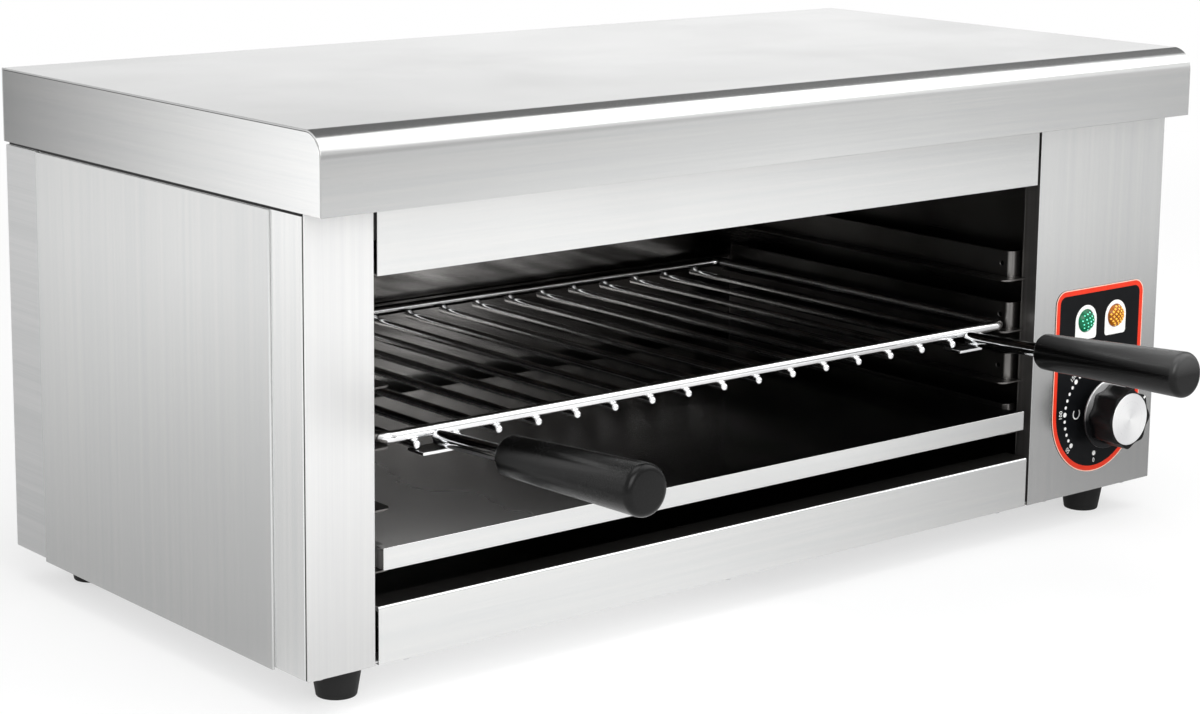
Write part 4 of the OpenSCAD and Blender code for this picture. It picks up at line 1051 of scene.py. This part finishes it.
# %% Drive the screws
HEAD_HEIGHT, SHANK_RADIUS, SHANK_LENGTH = 2 * MM, 1.5, 5
FOOT_HEAD, FOOT_HEAD_RADIUS, FOOT_SHANK_RADIUS, FOOT_SHANK_LENGTH = 3 * MM, 4.8, 2.5, 20
screw_boxes = solids_in("casing_screws")
seats = [seat_of(low, high, HEAD_HEIGHT) for low, high in screw_boxes]
head_radius = (screw_boxes[0][1].x - screw_boxes[0][0].x) / 2 / MM
screw_shape = cross_screw("screw_shape", head_radius, HEAD_HEIGHT / MM, SHANK_RADIUS, SHANK_LENGTH)
driver = screw_tree()
casing_screws = grown("casing_screws_driven", driver, {"Screw": screw_shape, "Seed": 4, "Finish": zinc},
                      facing_points("seats", [s[0] for s in seats], [s[1] for s in seats]))
fit(casing_screws, "casing", "chrome", "casing_screws")

foot_boxes = solids_in("foot_screws")
foot_shape = cross_screw("foot_screw_shape", FOOT_HEAD_RADIUS, FOOT_HEAD / MM,
                         FOOT_SHANK_RADIUS, FOOT_SHANK_LENGTH)
foot_seats = [Vector(((low.x + high.x) / 2, (low.y + high.y) / 2, low.z + FOOT_HEAD))
              for low, high in foot_boxes]
foot_screws = grown("foot_screws_driven", driver, {"Screw": foot_shape, "Seed": 9, "Finish": zinc},
                    facing_points("foot_seats", foot_seats, [(0, 0, -1)] * len(foot_seats)))
fit(foot_screws, "casing", "chrome", "foot_screws")
for shape in (screw_shape, foot_shape):
    bpy.data.objects.remove(shape)
print("screws:", len(seats), "in the sheets,", len(foot_seats), "in the feet")

# %% [markdown]
# ## The dial plate
# The plate is a thin black label with round top corners and a half-round foot, concentric with the
# knob. One line function gives its outline drawn in by any distance, and every printed band lies
# between two such lines: a hairline rim, the orange-red border and the black field.


# %% Helpers for print
plate_low, plate_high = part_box("dial_plate")
PLATE_FACE = plate_low.y
cap_low, cap_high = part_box("knob_cap")
KNOB_AXIS_X, KNOB_AXIS_Z = (cap_low.x + cap_high.x) / 2, (cap_low.z + cap_high.z) / 2
PLATE_CORNER = 8 * MM
PRINT = 0.05 * MM


def arc_points(x, z, radius, start, end, steps):
    """Points along a round stretch, angles in degrees."""
    turns = [math.radians(start + (end - start) * k / steps) for k in range(steps + 1)]
    return [(x + radius * math.cos(t), z + radius * math.sin(t)) for t in turns]


def plate_line(inset):
    """The plate's outline drawn in by a distance, as x and z."""
    middle = (plate_low.x + plate_high.x) / 2
    half = (plate_high.x - plate_low.x) / 2
    foot_z = plate_low.z + half
    corner_x, corner_z = half - PLATE_CORNER, plate_high.z - PLATE_CORNER
    radius = PLATE_CORNER - inset
    line = arc_points(middle + corner_x, corner_z, radius, 0, 90, 10)
    line += arc_points(middle - corner_x, corner_z, radius, 90, 180, 10)
    return line + arc_points(middle, foot_z, half - inset, 180, 360, 48)


def laid_sheet(form, line, face_y, thickness):
    """A thin sheet with the given outline, its face towards the front."""
    front = [form.verts.new((x, face_y, z)) for x, z in line]
    back = [form.verts.new((x, face_y + thickness, z)) for x, z in line]
    form.faces.new(front)
    form.faces.new(back[::-1])
    for k in range(len(line)):
        n = (k + 1) % len(line)
        form.faces.new((front[k], back[k], back[n], front[n]))


def laid_band(form, outer, inner, face_y, thickness):
    """A thin closed band between two outlines of as many points."""
    back_y = face_y + thickness
    rings = [[form.verts.new((x, y, z)) for x, z in line]
             for line, y in ((outer, face_y), (inner, face_y), (inner, back_y), (outer, back_y))]
    for a, b in zip(rings, rings[1:] + rings[:1]):
        for k in range(len(outer)):
            n = (k + 1) % len(outer)
            form.faces.new((a[k], a[n], b[n], b[k]))


def printed(name, light, dark, rough=0.34, gloss=0.15):
    """Screen-printed ink: even, with a faint mottle."""
    finish = Finish(name, Specular_IOR_Level=gloss)
    cloud = finish.mottle(180, detail=3.0)
    finish.lay("Base Color", finish.tones(cloud, dark, light))
    finish.lay("Roughness", finish.spread(cloud, rough - 0.05, rough + 0.05))
    finish.relief(finish.mottle(2500), 0.004, 0.4)
    return finish.material


def print_piece(name, form, ink, *stands_for):
    """Settles a printed form on the casing."""
    bmesh.ops.recalc_face_normals(form, faces=form.faces)
    fit(settle(name, form, ink), "casing", "dial_print", *stands_for)


print("the dial plate's face is at y", round(PLATE_FACE / MM, 1), "mm")

# %% The plate and its border
black_ink = printed("ink_black", "#131416", "#0F1012", gloss=0.08)
orange_ink = printed("ink_orange_red", "#E43B23", "#DC361F")
rim_ink = printed("ink_rim", "#F4C9B8", "#ECBBA8")
white_ink = printed("ink_white", "#F6F6F4", "#ECECEA")

plate = bmesh.new()
laid_sheet(plate, plate_line(0), PLATE_FACE + PRINT, plate_high.y - PLATE_FACE - PRINT)
print_piece("dial_plate_field", plate, black_ink, "dial_plate")
RIM_WIDTH, BORDER_END = 0.6 * MM, 3.4 * MM
BANDS = {"dial_rim_line": (rim_ink, 0.0, RIM_WIDTH), "dial_border": (orange_ink, RIM_WIDTH, BORDER_END)}
for name, (ink, outer, inner) in BANDS.items():
    band = bmesh.new()
    laid_band(band, plate_line(outer), plate_line(inner), PLATE_FACE, PRINT)
    print_piece(name, band, ink)
print("dial plate in mm:", [round(x / MM, 1) for x in plate_high - plate_low])

# %% [markdown]
# ## The scale
# Twenty-six dots count from 50 to 300 in tens, each fifth one larger, and one dot marks off. They lie
# on a ring, so a tree places them by angle. The numbers stand outside the dots with their tops
# outwards. They are text objects made into meshes, joined into one piece.

# %% Print the scale
SCALE_RADIUS, OFF_RADIUS = 27.5 * MM, 25.6 * MM
SMALL_DOT, LARGE_DOT = 2.0 * MM, 2.9 * MM
FIRST_ANGLE, LAST_ANGLE, OFF_ANGLE = 221.0, 1.0, 270.0
FIRST_VALUE, LAST_VALUE, SMALL_STEP, LARGE_EVERY = 50, 300, 10, 5
DOTS = (LAST_VALUE - FIRST_VALUE) // SMALL_STEP + 1


def dot_tree():
    """Thin discs on a ring in the plate's plane, each LARGE_EVERY-th one larger."""
    tree, given, end = start_tree("scale_dots", {
        "Dots": "Int", "Middle": "Vector", "Ring": "Float", "First angle": "Float", "Step": "Float",
        "Small": "Float", "Large": "Float", "Large every": "Int", "Depth": "Float", "Finish": "Material"})
    row = result(tree, "GeometryNodeMeshLine", {"Count": given["Dots"]})
    number = result(tree, "GeometryNodeInputIndex")
    angle = step(tree, "MULTIPLY_ADD", number, given["Step"], given["First angle"])
    way = joined(tree, step(tree, "COSINE", angle), z=step(tree, "SINE", angle))
    way = vector_step(tree, "SCALE", {0: way, "Scale": given["Ring"]})
    place = vector_step(tree, "ADD", {0: way, 1: given["Middle"]})
    row = result(tree, "GeometryNodeSetPosition", {0: row, "Position": place})
    disc = result(tree, "GeometryNodeMeshCylinder", {"Vertices": 24, "Radius": 0.5, "Depth": given["Depth"]})
    disc = result(tree, "GeometryNodeTransform", {0: disc, "Rotation": QUARTER_TURN})
    small = step(tree, "GREATER_THAN", step(tree, "MODULO", number, given["Large every"]), 0.5)
    width = between(tree, small, given["Large"], given["Small"])
    dots = copies(tree, row, disc, Scale=joined(tree, width, 1.0, width))
    close_tree(tree, dots, given["Finish"], end, smooth=False)
    return tree


dot_step = math.radians((LAST_ANGLE - FIRST_ANGLE) / (DOTS - 1))
scale_middle = Vector((KNOB_AXIS_X, PLATE_FACE + PRINT / 2, KNOB_AXIS_Z))
dot_rules = dot_tree()
dot_sizes = {"Middle": scale_middle, "Ring": SCALE_RADIUS, "Small": SMALL_DOT, "Large": LARGE_DOT,
             "Large every": LARGE_EVERY, "Depth": PRINT, "Finish": white_ink}
dots = grown("dial_dots", dot_rules, {**dot_sizes, "Dots": DOTS, "First angle": math.radians(FIRST_ANGLE),
                                      "Step": dot_step})
fit(dots, "casing", "dial_print")
off_dot = grown("dial_off_dot", dot_rules, {**dot_sizes, "Dots": 1, "Ring": OFF_RADIUS,
                                            "First angle": math.radians(OFF_ANGLE), "Step": 0.0})
fit(off_dot, "casing", "dial_print")
print("dots:", DOTS, "and one for off, step", round(math.degrees(dot_step), 2), "degrees")

# %% The numbers
NUMBER_RADIUS, NUMBER_SIZE = 31.1 * MM, 3.7 * MM
OFF_NUMBER_RADIUS = 29.6 * MM
UNIT_RADIUS, UNIT_SIZE, UNIT_ANGLE = 16.9 * MM, 9 * MM, 180.0


def lettered(form, text, size, radius, angle):
    """Adds a printed text to a form, on the plate, with its top outwards."""
    curve = bpy.data.curves.new("lettering", "FONT")
    curve.body = text
    curve.size = size
    curve.align_x = curve.align_y = "CENTER"
    curve.extrude = PRINT / 2
    curve.resolution_u = 4
    holder = in_scene("lettering", curve)
    mesh = made_by(holder)
    bpy.data.objects.remove(holder)
    upright = Matrix.Rotation(math.radians(90), 4, "X")
    turn = Matrix.Rotation(-math.radians(angle - 90), 4, "Y")
    way = Vector((math.cos(math.radians(angle)), 0, math.sin(math.radians(angle)))) * radius
    mesh.transform(Matrix.Translation(scale_middle + way) @ turn @ upright)
    form.from_mesh(mesh)
    bpy.data.meshes.remove(mesh)


numbers = bmesh.new()
lettered(numbers, "0", NUMBER_SIZE, OFF_NUMBER_RADIUS, OFF_ANGLE)
for value in range(FIRST_VALUE, LAST_VALUE + 1, SMALL_STEP * LARGE_EVERY):
    share = (value - FIRST_VALUE) / (LAST_VALUE - FIRST_VALUE)
    angle = FIRST_ANGLE + (LAST_ANGLE - FIRST_ANGLE) * share
    lettered(numbers, str(value), NUMBER_SIZE, NUMBER_RADIUS, angle)
lettered(numbers, "C", UNIT_SIZE, UNIT_RADIUS, UNIT_ANGLE)
bmesh.ops.remove_doubles(numbers, verts=numbers.verts, dist=JOIN_WITHIN)
print_piece("dial_numbers", numbers, white_ink)
print("numbers from", FIRST_VALUE, "to", LAST_VALUE)

# %% [markdown]
# ## The lamps
# Each lamp shines through a domed plastic lens on a white printed field with a round top. The lenses
# are moulded with a pattern that spreads the light: small round beads in the green one, a lattice of
# pyramids in the amber one. A tree lays the pattern over the dome from a grid of points.

# %% Helpers for lenses
FIELD_WIDTH, FIELD_DOWN, FIELD_CORNER = 18.6 * MM, 11.2 * MM, 2.0 * MM
PATTERN_SHARE, BUMP_FORM = 0.86, (1.0, 1.0, 0.45)


def field_line(x, z):
    """The outline of a lamp's white field: round top, square foot with small round corners."""
    half = FIELD_WIDTH / 2
    low = z - FIELD_DOWN
    line = arc_points(x, z, half, 0, 180, 28)
    line += arc_points(x - half + FIELD_CORNER, low + FIELD_CORNER, FIELD_CORNER, 180, 270, 6)
    return line + arc_points(x + half - FIELD_CORNER, low + FIELD_CORNER, FIELD_CORNER, 270, 360, 6)


def lens_plastic(name, light, dark, glow):
    """Clear coloured plastic over a lamp, glossy and a little lit from inside."""
    finish = Finish(name, Roughness=0.2, IOR=1.49, Specular_IOR_Level=0.25,
                    Coat_Weight=0.15, Coat_Roughness=0.04)
    swirl = finish.mottle(220, warp=0.5)
    colour = finish.tones(swirl, dark, light)
    finish.lay("Base Color", colour)
    finish.lay("Emission Color", colour)
    finish.shader.inputs["Emission Strength"].default_value = glow
    finish.relief(swirl, 0.05, 0.3)
    return finish.material


def bead_lattice_tree():
    """A grid of small bumps laid over a dome that faces forward."""
    tree, given, end = start_tree("lens_pattern", {
        "Middle": "Vector", "Across": "Float", "Rise": "Float", "Rows": "Int", "Turn": "Float", "Bump": "Float",
        "Sides": "Int", "Finish": "Material"})
    across, rise, rows = given["Across"], given["Rise"], given["Rows"]
    grid = result(tree, "GeometryNodeMeshGrid", {0: across, 1: across, 2: rows, 3: rows})
    grid = result(tree, "GeometryNodeTransform", {0: grid, "Rotation": joined(tree, z=given["Turn"])})
    place = result(tree, "GeometryNodeInputPosition")
    far = vector_step(tree, "LENGTH", {0: place}, "Value")
    half = step(tree, "DIVIDE", across, 2.0)
    outside = step(tree, "GREATER_THAN", step(tree, "DIVIDE", far, half), PATTERN_SHARE)
    grid = result(tree, "GeometryNodeDeleteGeometry", {0: grid, 1: outside}, domain="POINT")
    squares = step(tree, "MULTIPLY_ADD", rise, rise, step(tree, "MULTIPLY", half, half))
    ball = step(tree, "DIVIDE", step(tree, "DIVIDE", squares, rise), 2.0)
    level = step(tree, "SUBTRACT", step(tree, "MULTIPLY", ball, ball), step(tree, "MULTIPLY", far, far))
    level = step(tree, "ADD", step(tree, "SUBTRACT", step(tree, "SQRT", level), ball), rise)
    grid = result(tree, "GeometryNodeSetPosition", {0: grid, "Offset": joined(tree, z=level)})
    centre = joined(tree, z=step(tree, "SUBTRACT", rise, ball))
    out = vector_step(tree, "SUBTRACT", {0: place, 1: centre})
    upright = result(tree, "FunctionNodeAlignRotationToVector", {"Vector": out}, axis="Z")
    bump = result(tree, "GeometryNodeMeshUVSphere", {
        "Segments": given["Sides"], "Rings": 7, "Radius": given["Bump"]})
    bump = result(tree, "GeometryNodeTransform", {0: bump, "Scale": BUMP_FORM})
    bumps = copies(tree, grid, bump, Rotation=upright)
    faced = result(tree, "GeometryNodeRealizeInstances", {0: bumps})
    faced = result(tree, "GeometryNodeTransform", {
        0: faced, "Translation": given["Middle"], "Rotation": QUARTER_TURN})
    close_tree(tree, faced, given["Finish"], end)
    return tree


print("a lamp's field is", round(FIELD_WIDTH / MM, 1), "mm wide")

# %% Fields and lenses
LENSES = {
    # node: (lens colours and glow, bump colours, rows, turn, bump radius, sides)
    "lamp_lens_green": (("#007A50", "#004C30", 0.05), ("#8CFFE0", "#4CE8BC", 0.50), 7, 20, 0.48, 12),
    "lamp_lens_amber": (("#A85E06", "#6E3800", 0.05), ("#FFC850", "#F0A428", 0.30), 8, 45, 0.82, 4),
}
pattern = bead_lattice_tree()
for node, (body_colours, bump_colours, rows, turn, bump, sides) in LENSES.items():
    lens_low, lens_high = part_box(node)
    middle = (lens_low + lens_high) / 2
    field = bmesh.new()
    laid_sheet(field, field_line(middle.x, middle.z), PLATE_FACE, PRINT)
    print_piece(node.replace("lens", "field"), field, white_ink)
    colour = node.split("_")[-1]
    plastic = lens_plastic("lens_" + colour, *body_colours)
    finished_copy(node.replace("lamp", "moulded"), node, plastic, "lens_" + colour)
    bumps = grown(node + "_pattern", pattern, {
        "Middle": Vector((middle.x, lens_high.y, middle.z)), "Across": lens_high.x - lens_low.x,
        "Rise": lens_high.y - lens_low.y, "Rows": rows, "Turn": math.radians(turn), "Bump": bump * MM,
        "Sides": sides, "Finish": lens_plastic("lens_pattern_" + colour, *bump_colours)})
    fit(bumps, "casing", "lens_" + colour)
    print(node, "at", round(middle.x / MM, 1), round(middle.z / MM, 1), "bumps", len(bumps.data.polygons))

# %% [markdown]
# ## The knob
# The grip has eight broad hollows with rounded ridges between them, a bright ring at its foot and a
# spun aluminium disc on its face. Its section follows a rule, so the profile's rings are turned with a
# radius that dips eight times a turn. The pointer is a white line on the ridge at the upper right.

# %% Measure the knob
RIDGES = 8
body_low, body_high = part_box("knob_body")
ring_low, ring_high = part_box("knob_ring")
pointer_low, pointer_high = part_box("knob_pointer")
GRIP_RADIUS = (body_high.x - body_low.x) / 2 / MM
CAP_RADIUS = (cap_high.x - cap_low.x) / 2 / MM
KNOB_FRONT = Vector((KNOB_AXIS_X, body_low.y, KNOB_AXIS_Z))
pointer_middle = (pointer_low + pointer_high) / 2 - KNOB_FRONT
POINTER_TURN = math.atan2(pointer_middle.z, pointer_middle.x)
SEAT_RADIUS, HOLLOW_DEPTH = CAP_RADIUS + 0.1, GRIP_RADIUS - CAP_RADIUS - 0.6
FILLET, HUB_RADIUS, HUB_FILLET = 0.4, 7.5, 0.4
SLOT_HALF_WIDTH, SLOT_INWARDS, SLOT_DEPTH = 0.75, 2, 8
RINGS_PER_METRE = 5200.0


def ridge(angle, radius):
    """A ring of the grip drawn in at eight hollows; the disc's seat stays round."""
    if radius <= SEAT_RADIUS:
        return radius
    hollow = 0.5 - 0.5 * math.cos(RIDGES * angle)
    return radius - HOLLOW_DEPTH * hollow ** 0.8


def spun_aluminium(name, shaded, bright, petals, facing, start, metal):
    """Metal turned on a lathe: fine rings about the knob's axis, and petals of painted highlight in a fan."""
    finish = Finish(name, Metallic=metal)
    middle = (-KNOB_AXIS_X, 0, -KNOB_AXIS_Z)
    around = finish.stretched((1, 0, 1), middle=middle)
    x, _, z = split(finish.tree, around)
    radius = vector_step(finish.tree, "LENGTH", {0: around}, "Value")
    fan = finish.sums("COSINE", finish.sums("MULTIPLY_ADD", finish.sums("ARCTAN2", z, x), petals,
                                            -petals * math.radians(facing)))
    outwards = joined(finish.tree, finish.sums("MULTIPLY", radius, RINGS_PER_METRE))
    rings = result(finish.tree, "ShaderNodeTexNoise", {"Vector": outwards, "Scale": 1.0, "Detail": 2.0})
    # painted highlight: the tone goes from shaded to bright by the angle about the axis
    finish.lay("Base Color", finish.mix(finish.spread(fan, 0.0, 1.0, start, 1.0), tone(shaded), tone(bright)))
    finish.lay("Roughness", finish.sums("MULTIPLY_ADD", rings, 0.10, 0.24))
    finish.relief(rings, 0.01, 0.5)
    return finish.material


print("grip radius", round(GRIP_RADIUS, 1), "mm, pointer at", round(math.degrees(POINTER_TURN)), "degrees")

# %% Turn the knob
# painted highlight and shade: the disc is white in two petals, the ring white to the upper left, dark away
cap_aluminium = spun_aluminium("aluminium_spun", "#E9E9EA", "#FFFFFF", 2.0, 150.0, -1.0, 0.5)
ring_aluminium = spun_aluminium("aluminium_ring", "#242426", "#FFFFFF", 1.0, 110.0, 0.25, 0.7)
hub_depth = (body_high.y - ring_high.y) / MM
grip_length = (ring_low.y - body_low.y) / MM
seat_depth = (cap_high.y - cap_low.y) / MM
grip_profile = [(0, -grip_length), (GRIP_RADIUS - 0.3, -grip_length), (GRIP_RADIUS, -grip_length + 0.3)]
grip_profile += [(GRIP_RADIUS, -grip_length * share) for share in (0.8, 0.6, 0.4, 0.2)]
for a in range(0, 91, 18):
    out, up = FILLET * math.cos(math.radians(a)), FILLET * math.sin(math.radians(a))
    grip_profile.append((GRIP_RADIUS - FILLET + out, -FILLET + up))
grip_profile += [(SEAT_RADIUS, 0), (SEAT_RADIUS, -seat_depth), (0, -seat_depth)]
grip_form = turned(grip_profile, 192, ridge)
# the slot of the pointer, cut as a box through the front of the ridge
slot_form = bmesh.new()
bmesh.ops.create_cube(slot_form, size=1.0)
slot_low = Vector((GRIP_RADIUS - SLOT_INWARDS, -SLOT_HALF_WIDTH, -SLOT_DEPTH))
slot_high = Vector((GRIP_RADIUS + 1, SLOT_HALF_WIDTH, 1))
for vert in slot_form.verts:
    vert.co = Vector([slot_high[i] if vert.co[i] > 0 else slot_low[i] for i in range(3)]) * MM
grip_form = carved(grip_form, [slot_form])
bmesh.ops.transform(grip_form, matrix=Matrix.Rotation(POINTER_TURN, 4, "Z"), verts=grip_form.verts)
# local Z faces the front: X stays right and Y becomes up
to_front = Matrix.Translation(KNOB_FRONT) @ Matrix.Rotation(math.radians(90), 4, "X")
bmesh.ops.transform(grip_form, matrix=to_front, verts=grip_form.verts)
grip = settle("knob_grip", grip_form, knob_plastic, smooth_to=math.radians(50))
fit(grip, "knob", "black_plastic", "knob_body")

hub_profile = [(0, 0), (HUB_RADIUS, 0), (HUB_RADIUS, hub_depth - HUB_FILLET),
               (HUB_RADIUS - HUB_FILLET, hub_depth), (0, hub_depth)]
hub_form = turned([(r, -grip_length - z) for r, z in hub_profile], 64)
bmesh.ops.transform(hub_form, matrix=to_front, verts=hub_form.verts)
fit(settle("knob_hub", hub_form, knob_plastic), "knob", "black_plastic")
print("the grip is", round(grip_length, 1), "mm long and its hub", round(hub_depth, 1), "mm deep")

# %% Ring, disc and pointer
KNOB_SET = {
    "knob_ring": (ring_aluminium, "chrome", 0.35), "knob_cap": (cap_aluminium, "aluminium", 0.4),
    "knob_pointer": (white_ink, "white_plastic", 0.1),
}
for node, (material, slot, edge) in KNOB_SET.items():
    finished_copy(node.replace("knob", "knob_set"), node, material, slot, edge, 3)
print("pieces set into the knob:", len(KNOB_SET))

# %% [markdown]
# ## Behind the panel, at the back and underneath
# The thermostat, lamp bodies, leads and gland are small moulded, turned or drawn parts that only the
# back, the underside or an open panel would show. They keep their solids' form with welded, rounded
# copies in their own finishes. The feet are black rubber with a soft lower edge.

# %% Finish the small parts
SMALL_PARTS = {
    # node: (finish, slot, rounded edge in mm)
    "thermostat_body": (ceramic, "ceramic", 0.3), "thermostat_shaft": (brass, "brass", 0.2),
    "thermostat_screws": (zinc, "chrome", 0.0), "lamp_bodies": (white_plastic, "white_plastic", 0.2),
    "capillary_tube": (copper, "copper", 0.0), "sensing_bulb": (chrome, "chrome", 0.4),
    "bulb_clips": (guide_steel, "stainless_inside", 0.1), "terminal_block": (ceramic, "ceramic", 0.4),
    "wiring": (lead_cover, "wire_cover", 0.0), "earth_stud": (brass, "brass", 0.2),
    "cable_gland": (black_plastic, "black_plastic", 0.4), "gland_nut": (black_plastic, "black_plastic", 0.3),
    "foot_front_left": (foot_rubber, "rubber", 0.6), "foot_front_right": (foot_rubber, "rubber", 0.6),
    "foot_rear_left": (foot_rubber, "rubber", 0.6), "foot_rear_right": (foot_rubber, "rubber", 0.6),
}
for node, (material, slot, edge) in SMALL_PARTS.items():
    finished_copy("small_" + node, node, material, slot, edge)
print("small parts:", len(SMALL_PARTS))
